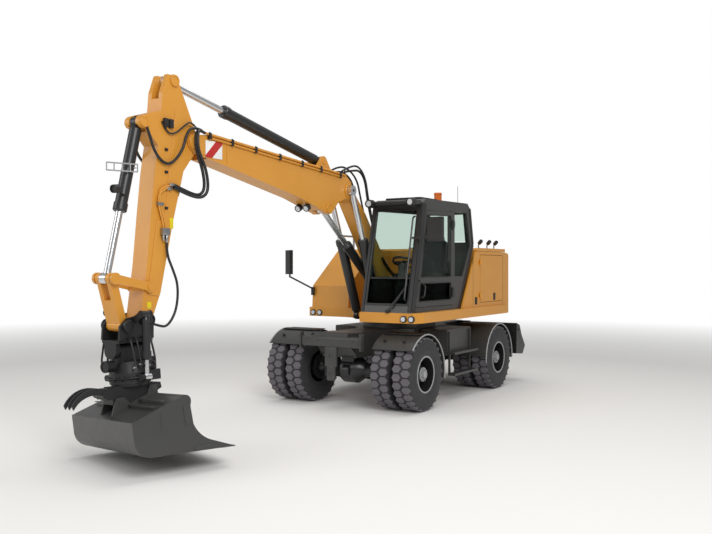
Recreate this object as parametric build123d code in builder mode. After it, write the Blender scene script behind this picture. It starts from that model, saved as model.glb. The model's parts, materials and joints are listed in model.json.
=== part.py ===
from build123d import *
import math
import os

os.makedirs("parts", exist_ok=True)

# Wheeled excavator with a two-piece boom, a tiltrotator and a grading bucket, in millimetres.
# X points forward, Y to the left, Z up. The ground is Z = 0.
# Every length below is measured from the slew centre, which stands slewX from the origin,
# so that the origin lies under the middle of the whole machine.

slewX = -2042
runGap = 0.3  # clearance of a pin in its hole
moveGap = 5.0  # clearance beside a moving piece

# Wheels and axles
wheelRadius = 540
tyreWidth = 302
tyreGap = 60
trackOuter = 2550
rimRadius = 256
rimWall = 11
hubRadius = 110
hubSet = 75  # how far the hub's face lies inside the outer tyre
frontAxleX = 1450
rearAxleX = -1300
kingpinY = trackOuter / 2 - 775
kingpinRadius = 30
spindleRadius = 60
armBack = 200
armInset = 40
axleRadius = 95

# Undercarriage frame
frameTop = 1120
frameBottom = 760
frameHalf = 330
frameNeck = 300
frameFront = 2080
frameRear = -1950
ringTop = 1262
ringRadius = 610
fenderGap = 38
fenderThick = 8

# Rear blade
bladePivotX = -1700
bladePivotZ = 600
bladeArmY = 300
bladeHalf = 1270
bladeHole = (-2225, 960)
bladeRamBase = (-1800, 1020)
bladeRamEye = (-2050, 640)
bladeRamY = 420

# Revolving frame and body
deckBottom = 1290
deckTop = 1440
bodyTop = 2430
bodyHalf = 1200
skirtHalf = 1250
tailRadius = 2250
panelThick = 30
hoodThick = 55
engineFront = -470
engineRear = -1760
bayLeft = 280
bayRight = -480
tankFront = 850

# Cab
cabLeft = 1150
cabRight = 300
cabWall = 55
cabFloor = deckTop + runGap
glassThick = 8
doorGap = 8
doorHingeX = 330
visorFront = 1520
visorZ = 3060
lampRadius = 42
skirtLampZ = 1352

# Arm pivots, each as distance forward and height
footPivot = (500, 1740)
mainPivot = (1800, 3250)
liftBase = (1000, 1350)
angleBase = (800, 1790)
angleEye = (2310, 2960)
stickPivot = (5090, 3550)
stickBase = (2400, 3630)
stickEye = (5380, 4205)
tipPivot = (5800, 1540)
idlerPivot = (5775, 1896)
linkPivot = (6250, 1990)
hitchPivot = (6100, 1490)
bucketBase = (5830, 3680)

# Arm widths, each as half of the whole
stubHalf = 100
boomHalf = 140
stickHalf = 112
liftY = 200

# Hydraulic cylinders: radii, half width of the eyes, gland distance and rest-to-closed travel
liftRam = dict(barrel=75, wall=12, rod=42, eye=75, eyeHalf=33, pin=45, gland=1281, closing=460)
angleRam = dict(barrel=72, wall=12, rod=42, eye=72, eyeHalf=48, pin=45, gland=1082, closing=365)
stickRam = dict(barrel=72, wall=12, rod=42, eye=68, eyeHalf=48, pin=45, gland=2090, closing=590)
bucketRam = dict(barrel=66, wall=11, rod=38, eye=62, eyeHalf=45, pin=40, gland=1010, closing=210)
bladeRam = dict(barrel=50, wall=8, rod=28, eye=48, eyeHalf=30, pin=25, gland=392, closing=10)
tiltRam = dict(barrel=42, wall=8, rod=24, eye=34, eyeHalf=45, pin=20, gland=480, closing=139)

# Tool
tiltZ = 1230
toolX = 5950
toolRoll = 5.0
toolTurn = -16.9
tiltBase = (270, 385)
tiltEye = (270, -300)
tiltRamX = 10
bucketHalf = 750
bucketPlate = 16
sidePlate = 20
bucketZ = -730
bucketPins = ((190, -525), (-190, -430))
bucketPin = 30
couplerHalf = 118
gripHalf = 130
clawReach = 690
clawThick = 26


def side(y=0):
    """A plane that faces right: sketch x runs forward and sketch y runs up."""
    return Plane(origin=(slewX, y, 0), x_dir=(1, 0, 0), z_dir=(0, -1, 0))


def level(z=0):
    """A level plane: sketch x runs forward and sketch y runs left."""
    return Plane(origin=(slewX, 0, z), x_dir=(1, 0, 0), z_dir=(0, 0, 1))


def across(x=0):
    """An upright plane that faces forward: sketch x runs left and sketch y runs up."""
    return Plane(origin=(slewX + x, 0, 0), x_dir=(0, 1, 0), z_dir=(1, 0, 0))


machine = level(0)


def crossPin(point, radius, yLow, yHigh, mode=Mode.ADD):
    """A round bar or hole that runs from left to right through a point of the side view."""
    with Locations((point[0], (yLow + yHigh) / 2, point[1])):
        Cylinder(radius, yHigh - yLow, rotation=(90, 0, 0), mode=mode)


def block(x, y, z, mode=Mode.ADD):
    """A box from its limits along X, Y and Z."""
    with Locations(((x[0] + x[1]) / 2, (y[0] + y[1]) / 2, (z[0] + z[1]) / 2)):
        Box(x[1] - x[0], y[1] - y[0], z[1] - z[0], mode=mode)


def tube(start, end, radius):
    """A round bar between two points."""
    run = Vector(*end) - Vector(*start)
    with BuildSketch(Plane(origin=Vector(slewX, 0, 0) + Vector(*start), z_dir=run)) as section:
        Circle(radius)
    extrude(section.sketch, amount=run.length)


def distance(a, b):
    return math.hypot(b[0] - a[0], b[1] - a[1])


def heading(a, b):
    return math.degrees(math.atan2(b[1] - a[1], b[0] - a[0]))


def ramPlane(base, eye, y):
    """A side plane at a cylinder's base pin, with x along the cylinder."""
    turn = math.radians(heading(base, eye))
    return Plane(
        origin=(slewX + base[0], y, base[1]),
        x_dir=(math.cos(turn), 0, math.sin(turn)),
        z_dir=(0, -1, 0),
    )


def ramBarrel(frame, ram):
    """A hydraulic barrel with its base eye, end cap and gland."""
    eyeR = ram["eye"]
    start = eyeR * 0.8
    gland = ram["gland"]
    outer = ram["barrel"]
    bore = outer - ram["wall"]
    with BuildPart() as barrel:
        with BuildSketch(frame):
            Polygon(
                (start, 0),
                (start, outer * 0.75),
                (start + 35, outer),
                (gland - 90, outer),
                (gland - 90, outer + 9),
                (gland - 12, outer + 9),
                (gland, outer),
                (gland, ram["rod"] + runGap),
                (gland - 70, ram["rod"] + runGap),
                (gland - 70, bore),
                (start + 50, bore),
                (start + 50, 0),
                align=None,
            )
        revolve(axis=Axis(frame.origin, frame.x_dir))
        with BuildSketch(frame):
            Circle(eyeR)
        extrude(amount=ram["eyeHalf"], both=True)
        with BuildSketch(frame):
            Circle(ram["pin"] + runGap)
        extrude(amount=ram["eyeHalf"] + 1, both=True, mode=Mode.SUBTRACT)
    return barrel.part


def ramRod(frame, length, ram):
    """A chromed rod with its end eye; it runs back into the barrel as far as its stroke needs."""
    tail = ram["eye"] * 0.8 + 60 + ram["closing"]
    with BuildPart() as rod:
        with BuildSketch(frame):
            Polygon(
                (tail, 0),
                (tail, ram["rod"]),
                (length - ram["eye"] * 0.7, ram["rod"]),
                (length - ram["eye"] * 0.7, 0),
                align=None,
            )
        revolve(axis=Axis(frame.origin, frame.x_dir))
        with BuildSketch(frame):
            with Locations((length, 0)):
                Circle(ram["eye"])
        extrude(amount=ram["eyeHalf"], both=True)
        with BuildSketch(frame):
            with Locations((length, 0)):
                Circle(ram["pin"] * 0.5)
        extrude(amount=ram["eyeHalf"] + 1, both=True, mode=Mode.SUBTRACT)
    return rod.part


# Wheels: two tyres and one joined pair of rims on each hub
wheelY = trackOuter / 2 - tyreWidth - tyreGap / 2
corners = {
    "front_left": (frontAxleX, 1),
    "front_right": (frontAxleX, -1),
    "rear_left": (rearAxleX, 1),
    "rear_right": (rearAxleX, -1),
}
innerFace = wheelY - tyreGap / 2 - tyreWidth
hubFace = innerFace + 190
discFace = wheelY + 25
hubOut = trackOuter / 2 - hubSet
for corner, (axleX, hand) in corners.items():
    hub = Plane(origin=(slewX + axleX, 0, wheelRadius), x_dir=(0, hand, 0), z_dir=(hand, 0, 0))
    axle = Axis(hub.origin, (0, 1, 0))
    with BuildPart() as tyres:
        for middle in (wheelY - (tyreGap + tyreWidth) / 2, wheelY + (tyreGap + tyreWidth) / 2):
            half = tyreWidth / 2
            with BuildSketch(hub):
                Polygon(
                    (middle - 108, rimRadius + runGap),
                    (middle - half + 12, rimRadius + 45),
                    (middle - half, rimRadius + 130),
                    (middle - half + 8, wheelRadius - 60),
                    (middle - half + 24, wheelRadius - 12),
                    (middle - half + 52, wheelRadius),
                    (middle + half - 52, wheelRadius),
                    (middle + half - 24, wheelRadius - 12),
                    (middle + half - 8, wheelRadius - 60),
                    (middle + half, rimRadius + 130),
                    (middle + half - 12, rimRadius + 45),
                    (middle + 108, rimRadius + runGap),
                    align=None,
                )
            revolve(axis=axle)
    tyres.part.label = f"tyres_{corner}"
    export_step(tyres.part, f"parts/tyres_{corner}.step")

    with BuildPart() as rims:
        with BuildSketch(hub):
            Polygon(
                (innerFace + 20, rimRadius - rimWall),
                (innerFace + 20, rimRadius),
                (wheelY - 12, rimRadius),
                (wheelY - 12, rimRadius - 1),
                (wheelY + 12, rimRadius - 1),
                (wheelY + 12, rimRadius),
                (trackOuter / 2 - 20, rimRadius),
                (trackOuter / 2 - 20, rimRadius - rimWall),
                (discFace + 90, rimRadius - rimWall),
                (discFace + 26, 150),
                (discFace + 26, hubRadius + 8),
                (hubOut - 25, hubRadius),
                (hubOut, hubRadius - 25),
                (hubOut, 0),
                (hubFace + 110, 0),
                (hubFace + 110, spindleRadius + runGap),
                (hubFace, spindleRadius + runGap),
                (hubFace, 110),
                (discFace - 4, 135),
                (discFace - 4, 160),
                (discFace + 60, rimRadius - rimWall),
                align=None,
            )
        revolve(axis=axle)
    rims.part.label = f"rims_{corner}"
    export_step(rims.part, f"parts/rims_{corner}.step")

# Front axle: a pivoting beam with a differential and a yoke at each end
yokeHeight = 190
with BuildPart(machine) as frontAxle:
    beam = Plane(
        origin=(slewX + frontAxleX, 0, wheelRadius), x_dir=(0, 1, 0), z_dir=(1, 0, 0)
    )
    with BuildSketch(beam):
        Polygon(
            (-400, 0),
            (-400, axleRadius),
            (-250, axleRadius + 10),
            (-170, 165),
            (-110, 205),
            (110, 205),
            (170, 165),
            (250, axleRadius + 10),
            (400, axleRadius),
            (400, 0),
            align=None,
        )
    revolve(axis=Axis(beam.origin, (0, 1, 0)))
    for hand in (-1, 1):
        z = (wheelRadius - yokeHeight, wheelRadius + yokeHeight)
        x = (frontAxleX - 55, frontAxleX + 55)
        yLimits = sorted((hand * 365, hand * 405))
        block(x, yLimits, z)
        yLimits = sorted((hand * 365, hand * (kingpinY + 45)))
        block(x, yLimits, (z[0], z[0] + 50))
        block(x, yLimits, (z[1] - 50, z[1]))
        with Locations((frontAxleX, hand * kingpinY, wheelRadius)):
            Cylinder(kingpinRadius + runGap, 2 * yokeHeight + 2, mode=Mode.SUBTRACT)
    crossPin((frontAxleX + 150, wheelRadius), 90, -60, 60)
    crossPin((frontAxleX - 230, wheelRadius - 10), 45, -300, 300)
    block((frontAxleX - 235, frontAxleX - 80), (-200, -150), (wheelRadius - 40, wheelRadius + 30))
    block((frontAxleX - 235, frontAxleX - 80), (150, 200), (wheelRadius - 40, wheelRadius + 30))
    for x in (frontAxleX - 130, frontAxleX + 130):
        block((x - 30, x + 30), (-110, 110), (wheelRadius + 90, wheelRadius + 219.7))
frontAxle.part.label = "front_axle"
export_step(frontAxle.part, "parts/front_axle.step")

# Rear axle with the gearbox and the shaft that drives the front axle
with BuildPart(machine) as rearAxle:
    beam = Plane(
        origin=(slewX + rearAxleX, 0, wheelRadius), x_dir=(0, 1, 0), z_dir=(1, 0, 0)
    )
    with BuildSketch(beam):
        Polygon(
            (-hubFace - 100, 0),
            (-hubFace - 100, spindleRadius),
            (-hubFace + 10, spindleRadius),
            (-hubFace + 10, 120),
            (-innerFace + 5, 120),
            (-innerFace + 5, 190),
            (-innerFace + 60, 190),
            (-innerFace + 60, axleRadius),
            (-250, axleRadius + 10),
            (-170, 165),
            (-110, 205),
            (110, 205),
            (170, 165),
            (250, axleRadius + 10),
            (innerFace - 60, axleRadius),
            (innerFace - 60, 190),
            (innerFace - 5, 190),
            (innerFace - 5, 120),
            (hubFace - 10, 120),
            (hubFace - 10, spindleRadius),
            (hubFace + 100, spindleRadius),
            (hubFace + 100, 0),
            align=None,
        )
    revolve(axis=Axis(beam.origin, (0, 1, 0)))
    block((rearAxleX + 180, rearAxleX + 520), (-170, 170), (wheelRadius - 150, wheelRadius + 150))
    with Locations((rearAxleX + 640, 110, wheelRadius + 90)):
        Cylinder(100, 260, rotation=(0, 90, 0))
    shaftEnd = frontAxleX - 275
    with Locations(((rearAxleX + 500 + shaftEnd) / 2, 0, wheelRadius - 10)):
        Cylinder(42, shaftEnd - rearAxleX - 500, rotation=(0, 90, 0))
    for y in (-270, 270):
        block((rearAxleX - 75, rearAxleX + 75), (y - 50, y + 50), (wheelRadius, frameBottom - runGap))
rearAxle.part.label = "rear_axle"
export_step(rearAxle.part, "parts/rear_axle.step")

# Steering knuckles, each with its kingpin, hub carrier, spindle and steering arm
for handName, hand in (("left", 1), ("right", -1)):
    carrier = Plane(
        origin=(slewX + frontAxleX, 0, wheelRadius), x_dir=(0, hand, 0), z_dir=(hand, 0, 0)
    )
    with BuildPart(machine) as knuckle:
        with BuildSketch(carrier):
            Polygon(
                (kingpinY, 0),
                (kingpinY, 50),
                (innerFace - 30, 75),
                (innerFace - 30, 190),
                (innerFace + 20, 190),
                (innerFace + 60, 130),
                (hubFace - 10, 115),
                (hubFace - 10, spindleRadius),
                (hubFace + 100, spindleRadius),
                (hubFace + 100, 0),
                align=None,
            )
        revolve(axis=Axis(carrier.origin, (0, 1, 0)))
        with Locations((frontAxleX, hand * kingpinY, wheelRadius)):
            Cylinder(52, 2 * (yokeHeight - 50 - moveGap))
            Cylinder(kingpinRadius, 2 * yokeHeight)
        with BuildSketch(level(wheelRadius - 125)):
            Polygon(
                (frontAxleX, hand * (kingpinY + 35)),
                (frontAxleX, hand * (kingpinY - 25)),
                (frontAxleX - armBack, hand * (kingpinY - armInset - 20)),
                (frontAxleX - armBack, hand * (kingpinY - armInset + 25)),
                align=None,
            )
            with Locations((frontAxleX - armBack, hand * (kingpinY - armInset))):
                Circle(34)
        extrude(amount=30)
    knuckle.part.label = f"knuckle_{handName}"
    export_step(knuckle.part, f"parts/knuckle_{handName}.step")

# Tie rod under the two steering arms
tieZ = wheelRadius - 125 - 0.5 - 22
with BuildPart(machine) as tieRod:
    tieEnd = kingpinY - armInset
    crossPin((frontAxleX - armBack, tieZ), 20, -tieEnd, tieEnd)
    for hand in (-1, 1):
        with Locations((frontAxleX - armBack, hand * tieEnd, tieZ)):
            Cylinder(32, 44)
tieRod.part.label = "tie_rod"
export_step(tieRod.part, "parts/tie_rod.step")

# Fenders: the front pair turns with the knuckles, the rear pair is bolted to the frame
fenderRadius = wheelRadius + fenderGap


def fender(axleX, hand, rear, front):
    """A curved mudguard over one pair of tyres, with a turned-down outer edge."""
    inner = innerFace - 5
    outer = trackOuter / 2 + 5
    with BuildPart(machine) as guard:
        with BuildSketch(side(hand * inner)):
            with Locations((axleX, wheelRadius)):
                Circle(fenderRadius + fenderThick)
                Circle(fenderRadius, mode=Mode.SUBTRACT)
            with Locations((axleX, wheelRadius)):
                Polygon(
                    (0, 0),
                    (-1200, -1200 * math.tan(math.radians(rear))),
                    (-1200, -1500),
                    (1200, -1500),
                    (1200, 1200 * math.tan(math.radians(front))),
                    align=None,
                    mode=Mode.SUBTRACT,
                )
        extrude(amount=-hand * (outer - inner))
    return guard.part


for handName, hand in (("left", 1), ("right", -1)):
    guardPart = fender(frontAxleX, hand, 12, 40)
    with BuildPart() as frontFender:
        add(guardPart)
        y = sorted((hand * (innerFace - 30), hand * (innerFace - 6)))
        with Locations(machine.location):
            block(
                (frontAxleX - 30, frontAxleX + 30),
                y,
                (wheelRadius + 190 + runGap, wheelRadius + fenderRadius + fenderThick),
            )
        y = sorted((hand * (innerFace - 30), hand * innerFace))
        with Locations(machine.location):
            block(
                (frontAxleX - 30, frontAxleX + 30),
                y,
                (wheelRadius + fenderRadius, wheelRadius + fenderRadius + fenderThick),
            )
    frontFender.part.label = f"fender_front_{handName}"
    export_step(frontFender.part, f"parts/fender_front_{handName}.step")

with BuildPart() as rearFenders:
    for hand in (-1, 1):
        add(fender(rearAxleX, hand, 5, 5))
        y = sorted((hand * (frameHalf + runGap), hand * (innerFace + 20)))
        for x in (rearAxleX - 250, rearAxleX + 250):
            with Locations(machine.location):
                block((x - 20, x + 20), y, (wheelRadius + 500, wheelRadius + 535))
rearFenders.part.label = "rear_fenders"
export_step(rearFenders.part, "parts/rear_fenders.step")

# Undercarriage frame
with BuildPart(machine) as chassis:
    with BuildSketch(level(frameBottom)):
        Polygon(
            (frameRear, -260),
            (frameRear, 260),
            (-1000, frameHalf),
            (-700, 560),
            (500, 560),
            (780, frameNeck),
            (frameFront - 250, frameNeck),
            (frameFront - 250, -frameNeck),
            (780, -frameNeck),
            (500, -560),
            (-700, -560),
            (-1000, -frameHalf),
            align=None,
        )
    extrude(amount=frameTop - frameBottom)
    with BuildSketch(side()):
        Polygon(
            (frameFront - 260, frameTop),
            (frameFront - 20, frameTop + 30),
            (frameFront, frameTop),
            (frameFront, 960),
            (frameFront - 120, 900),
            (frameFront - 260, frameBottom + 20),
            align=None,
        )
    extrude(amount=frameNeck, both=True)
    with Locations((0, 0, (frameTop + ringTop) / 2)):
        Cylinder(ringRadius, ringTop - frameTop)
        Cylinder(ringRadius - 120, ringTop - frameTop + 2, mode=Mode.SUBTRACT)
    for y in (-bladeArmY, bladeArmY):
        for shift in (-55, 30):
            block(
                (bladePivotX - 75, bladePivotX + 75),
                (y + shift, y + shift + 25),
                (bladePivotZ - 75, frameBottom + 10),
            )
        crossPin((bladePivotX, bladePivotZ), 30, y - 70, y + 70)
    for hand in (-1, 1):
        y = hand * bladeRamY
        block(
            (bladeRamBase[0] - 60, bladeRamBase[0] + 60),
            sorted((hand * 240, y + hand * 55)),
            (bladeRamBase[1] + 62, frameTop),
        )
        for shift in (-55, 35):
            with BuildSketch(side(y + shift + 20)):
                with Locations(bladeRamBase):
                    Circle(36)
                    Rectangle(72, frameTop - bladeRamBase[1], align=(Align.CENTER, Align.MIN))
            extrude(amount=20)
        crossPin(bladeRamBase, bladeRam["pin"], y - 65, y + 65)
chassis.part.label = "chassis_frame"
export_step(chassis.part, "parts/chassis_frame.step")

# Boxes between the wheels with their two-rung ladders, one each side
with BuildPart(machine) as sideBoxes:
    for hand in (-1, 1):
        block((-560, 340), sorted((hand * 560.3, hand * 1060)), (700, 1110))
        for rung in (405, 740):
            block((-560, 340), sorted((hand * 1075, hand * 1200)), (rung - 18, rung + 18))
        for x in (-500, 270):
            block((x, x + 30), sorted((hand * 1060, hand * 1090)), (387, 1080))
            block((x, x + 30), sorted((hand * 1060, hand * 1100)), (722, 758))
sideBoxes.part.label = "side_boxes"
export_step(sideBoxes.part, "parts/side_boxes.step")

# Rear blade with its two arms and the lugs for its cylinders
with BuildPart(machine) as blade:
    with BuildSketch(side()):
        with BuildLine():
            Polyline(
                (-2210, 1080),
                (-2140, 1080),
                (-2115, 800),
                (-2120, 530),
                (-2440, 500),
                (-2530, 600),
                (-2400, 600),
            )
            ThreePointArc((-2400, 600), (-2225, 780), (-2210, 1080))
        make_face()
    extrude(amount=bladeHalf - 20, both=True)
    for hand in (-1, 1):
        with BuildSketch(side(hand * (bladeHalf - 20))):
            Polygon(
                (-2140, 1085),
                (-2290, 1040),
                (-2380, 860),
                (-2560, 650),
                (-2440, 500),
                (-2115, 530),
                align=None,
            )
            with Locations(bladeHole):
                Circle(25, mode=Mode.SUBTRACT)
        extrude(amount=-hand * 20)
        y = hand * bladeArmY
        with BuildSketch(side(y)):
            Polygon(
                (bladePivotX, bladePivotZ + 55),
                (bladePivotX, bladePivotZ - 55),
                (-2120, 540),
                (-2120, 720),
                align=None,
            )
            with Locations((bladePivotX, bladePivotZ)):
                Circle(55)
        extrude(amount=25, both=True)
        crossPin((bladePivotX, bladePivotZ), 30 + runGap, y - 30, y + 30, mode=Mode.SUBTRACT)
        y = hand * bladeRamY
        for shift in (-55, 35):
            with BuildSketch(side(y + shift + 20)):
                Polygon((-2120, 540), (-2120, 740), (-2050, 690), (-2050, 590), align=None)
                with Locations(bladeRamEye):
                    Circle(50)
            extrude(amount=20)
blade.part.label = "blade"
export_step(blade.part, "parts/blade.step")


def ramPair(base, eye, spread, ram):
    """The left and right barrels and rods of a pair that moves together."""
    frames = [ramPlane(base, eye, y) for y in (-spread, spread)]
    barrels = [ramBarrel(frame, ram) for frame in frames]
    rods = [ramRod(frame, distance(base, eye), ram) for frame in frames]
    return Compound(children=barrels), Compound(children=rods)


bladeBarrels, bladeRods = ramPair(bladeRamBase, bladeRamEye, bladeRamY, bladeRam)
bladeBarrels.label = "blade_barrels"
export_step(bladeBarrels, "parts/blade_barrels.step")
bladeRods.label = "blade_rods"
export_step(bladeRods, "parts/blade_rods.step")

# Revolving frame: deck, skirt, boom brackets and the ears of the lift cylinders
earOuter = liftY + liftRam["eyeHalf"] + 9
with BuildPart(machine) as deck:
    with BuildSketch(level(deckBottom)):
        Polygon(
            (engineRear + 10, -skirtHalf),
            (engineRear + 10, skirtHalf),
            (1500, skirtHalf),
            (1690, skirtHalf - 60),
            (1715, bayLeft),
            (900, bayLeft),
            (900, bayRight),
            (tankFront, bayRight),
            (tankFront, -skirtHalf),
            align=None,
        )
    extrude(amount=deckTop - deckBottom)
    with Locations((0, 0, (ringTop + runGap + deckBottom) / 2)):
        Cylinder(ringRadius - 20, deckBottom - ringTop - runGap)
    for hand in (-1, 1):
        with BuildSketch(side(hand * (stubHalf + 5))):
            Polygon(
                (-180, deckTop),
                (380, footPivot[1] + 90),
                (footPivot[0] + 60, footPivot[1] + 110),
                (footPivot[0] + 130, footPivot[1]),
                (860, deckTop),
                (910, deckTop),
                (930, 1380),
                liftBase,
                (1040, deckBottom),
                (-180, deckBottom),
                align=None,
            )
            with Locations(liftBase):
                Circle(58)
        extrude(amount=-hand * 30)
        with BuildSketch(side(hand * earOuter)):
            Polygon(
                (860, deckTop),
                (900, deckTop),
                liftBase,
                (1040, deckBottom),
                (860, deckBottom),
                align=None,
            )
            with Locations(liftBase):
                Circle(58)
        extrude(amount=-hand * 25)
        crossPin(
            liftBase,
            liftRam["pin"],
            *sorted((hand * (stubHalf + 10), hand * (earOuter + 30))),
        )
    crossPin(footPivot, 55, -stubHalf - 45, stubHalf + 45)
deck.part.label = "revolving_frame"
export_step(deck.part, "parts/revolving_frame.step")

# Counterweight with a rounded tail
with BuildPart(machine) as counterweight:
    with BuildSketch(level(deckBottom)):
        Circle(tailRadius)
        with Locations((-tailRadius, 0)):
            Rectangle(2 * (tailRadius + engineRear), 2 * bodyHalf, mode=Mode.INTERSECT)
    extrude(amount=bodyTop - 70 - deckBottom)
    rim = counterweight.faces().sort_by(Axis.Z)[-1].edges().filter_by(GeomType.CIRCLE)
    fillet(rim, 60)
counterweight.part.label = "counterweight"
export_step(counterweight.part, "parts/counterweight.step")



def hingePin(point, middle, radius, width):
    """A hinge's fork and its level pin, on the piece that stays."""
    crossPin(point, radius, middle - width / 2 - 8, middle + width / 2 + 8)
    for y in (middle - width / 2 - 8, middle + width / 2 + runGap):
        crossPin(point, radius + 8, y, y + 8 - runGap)


# Engine bay walls: the bulkhead behind the boom, and both sides with the left door's opening
wallTop = bodyTop - hoodThick - moveGap
doorFront = -640
doorRear = -1600
doorLow = 1520
doorHigh = 2310
diagonalLow = (70, deckTop)
hingeRadius = 8
hingeHeight = 60
hoodPivot = (-511, 2386)
hoodHingeWidth = 60
engineDoorPivot = (-612, bodyHalf + 21)
engineHinges = (1600, 2160)
with BuildPart(machine) as engineWalls:
    for hand, front in ((1, diagonalLow[0]), (-1, engineFront)):
        with BuildSketch(side(hand * bodyHalf)):
            Polygon(
                (engineRear + 0.5, deckTop + runGap),
                (engineRear + 0.5, wallTop),
                (engineFront, wallTop),
                (front, deckTop + runGap),
                align=None,
            )
            if hand == 1:
                with Locations(((doorFront + doorRear) / 2, (doorLow + doorHigh) / 2)):
                    Rectangle(
                        doorFront - doorRear + 2 * doorGap,
                        doorHigh - doorLow + 2 * doorGap,
                        mode=Mode.SUBTRACT,
                    )
        extrude(amount=hand * panelThick)
    block(
        (engineFront - panelThick, engineFront),
        (-bodyHalf + panelThick - 1, bodyHalf - panelThick + 1),
        (deckTop + runGap, wallTop),
    )
    for middle in (-800, 800):
        hingePin(hoodPivot, middle, hingeRadius, hoodHingeWidth)
        for y in (middle - hoodHingeWidth / 2 - 8, middle + hoodHingeWidth / 2 + runGap):
            block((hoodPivot[0], engineFront - 10), (y, y + 8 - runGap), (wallTop - 30, hoodPivot[1]))
    for z in engineHinges:
        with Locations((engineDoorPivot[0], engineDoorPivot[1], z + hingeHeight / 2)):
            Cylinder(hingeRadius, hingeHeight + 36)
        for low in (z - 18, z + hingeHeight + runGap):
            with Locations((engineDoorPivot[0], engineDoorPivot[1], low + 9)):
                Cylinder(hingeRadius + 6, 18 - runGap)
            block(
                (engineDoorPivot[0] - 8, engineDoorPivot[0] + 8),
                (bodyHalf - 5, engineDoorPivot[1]),
                (low + runGap / 2, low + 18 - runGap / 2),
            )
engineWalls.part.label = "engine_walls"
export_step(engineWalls.part, "parts/engine_walls.step")

# Engine-bay door on the left, with its two flush latches
with BuildPart(machine) as engineDoor:
    block(
        (doorRear, doorFront), (bodyHalf - panelThick + 0.5, bodyHalf + 4), (doorLow, doorHigh)
    )
    for z in engineHinges:
        block(
            (doorFront - 40, engineDoorPivot[0]),
            (bodyHalf + 3.5, engineDoorPivot[1] + 10),
            (z + runGap, z + hingeHeight - runGap),
        )
        with Locations((engineDoorPivot[0], engineDoorPivot[1], z + hingeHeight / 2)):
            Cylinder(hingeRadius + 6, hingeHeight - 2 * runGap)
            Cylinder(hingeRadius + runGap, hingeHeight + 2, mode=Mode.SUBTRACT)
engineDoor.part.label = "engine_door"
export_step(engineDoor.part, "parts/engine_door.step")

# Engine and cooling pack as one plain block
with BuildPart(machine) as engine:
    block((-1640, -680), (-620, 900), (deckTop + runGap, 2180))
engine.part.label = "engine_block"
export_step(engine.part, "parts/engine_block.step")

# Engine hood, hinged at its front edge
hoodFront = engineFront - 60
with BuildPart(machine) as hood:
    with BuildSketch(side()):
        Polygon(
            (engineRear + 6, wallTop + moveGap),
            (engineRear + 6, bodyTop),
            (hoodFront - 40, bodyTop),
            (hoodFront, bodyTop - 30),
            (hoodFront, wallTop + moveGap),
            align=None,
        )
    extrude(amount=bodyHalf - 4, both=True)
    for middle in (-800, 800):
        low = middle - hoodHingeWidth / 2 + runGap
        high = middle + hoodHingeWidth / 2 - runGap
        crossPin(hoodPivot, hingeRadius + 8, low, high)
        block((hoodFront - 20, hoodPivot[0]), (low, high), (hoodPivot[1] - 10, hoodPivot[1] + 10))
        crossPin(hoodPivot, hingeRadius + runGap, low - 1, high + 1, mode=Mode.SUBTRACT)
hood.part.label = "engine_hood"
export_step(hood.part, "parts/engine_hood.step")

# Tank and tool box at the right front, with its sloping nose
tankTop = bodyTop - 12
with BuildPart(machine) as tank:
    with BuildSketch(side(bayRight)):
        Polygon(
            (engineFront + 4, deckTop + runGap),
            (tankFront - 5, deckTop + runGap),
            (tankFront - 30, 1800),
            (30, tankTop),
            (engineFront + 4, tankTop),
            align=None,
        )
    extrude(amount=bodyHalf + bayRight)
    outerEdges = tank.edges().filter_by(Axis.X).sort_by(Axis.Z)[-2:]
    fillet(outerEdges, 30)
tank.part.label = "tank_box"
export_step(tank.part, "parts/tank_box.step")

# Cab shell: a hollow box with its real walls, windows and door opening
cabOutline = (
    (1700, cabFloor),
    (1340, 3060),
    (1240, 3130),
    (-240, 3150),
    (-330, 3080),
    (-452, 2480),
    (-452, 2440),
    (106, cabFloor),
)
doorOutline = ((doorHingeX, 1510), (1560, 1510), (1560, 1640), (1270, 2960), (doorHingeX, 2990))
doorWindow = ((doorHingeX + 70, 1960), (1410, 1960), (1218, 2885), (doorHingeX + 70, 2915))
lowWindow = ((doorHingeX + 70, 1600), (1475, 1600), (1425, 1870), (doorHingeX + 70, 1870))
rearWindow = ((250, 1960), (250, 2985), (-205, 2990), (-350, 2460), (-40, 1960))
sideWindow = ((1500, 1960), (1300, 2960), (-205, 2990), (-350, 2460), (-40, 1960))
doorPivot = (doorHingeX - 20, cabLeft + 22)
doorHinges = (1655, 2755)
with BuildPart(machine) as cabBox:
    with BuildSketch(side(cabLeft)):
        Polygon(*cabOutline, align=None)
    extrude(amount=cabLeft - cabRight)
    with BuildSketch(side(cabLeft - cabWall)):
        Polygon(*cabOutline, align=None)
        offset(amount=-cabWall, mode=Mode.REPLACE)
    extrude(amount=cabLeft - cabRight - 2 * cabWall, mode=Mode.SUBTRACT)
    with BuildSketch(side(cabLeft - 20)):
        Polygon(
            (1330, visorZ - 22),
            (visorFront - 30, visorZ - 22),
            (visorFront - 30, visorZ + 24),
            (1320, visorZ + 12),
            align=None,
        )
        with Locations((visorFront - 30, visorZ)):
            Circle(30)
    extrude(amount=cabLeft - cabRight - 40)
    with BuildSketch(side(cabLeft)):
        Polygon(*doorOutline, align=None)
        Polygon(*rearWindow, align=None)
    extrude(amount=cabWall + 1, mode=Mode.SUBTRACT)
    with BuildSketch(side(cabRight + cabWall + 1)):
        Polygon(*sideWindow, align=None)
    extrude(amount=cabWall + 2, mode=Mode.SUBTRACT)
    block((1300, 1800), (cabRight + 70, cabLeft - 70), (1560, 2960), mode=Mode.SUBTRACT)
    block((-480, -260), (cabRight + 110, cabLeft - 110), (2520, 2980), mode=Mode.SUBTRACT)
    block((620, 1150), (cabRight + 150, cabLeft - 150), (3050, 3200), mode=Mode.SUBTRACT)
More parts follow.
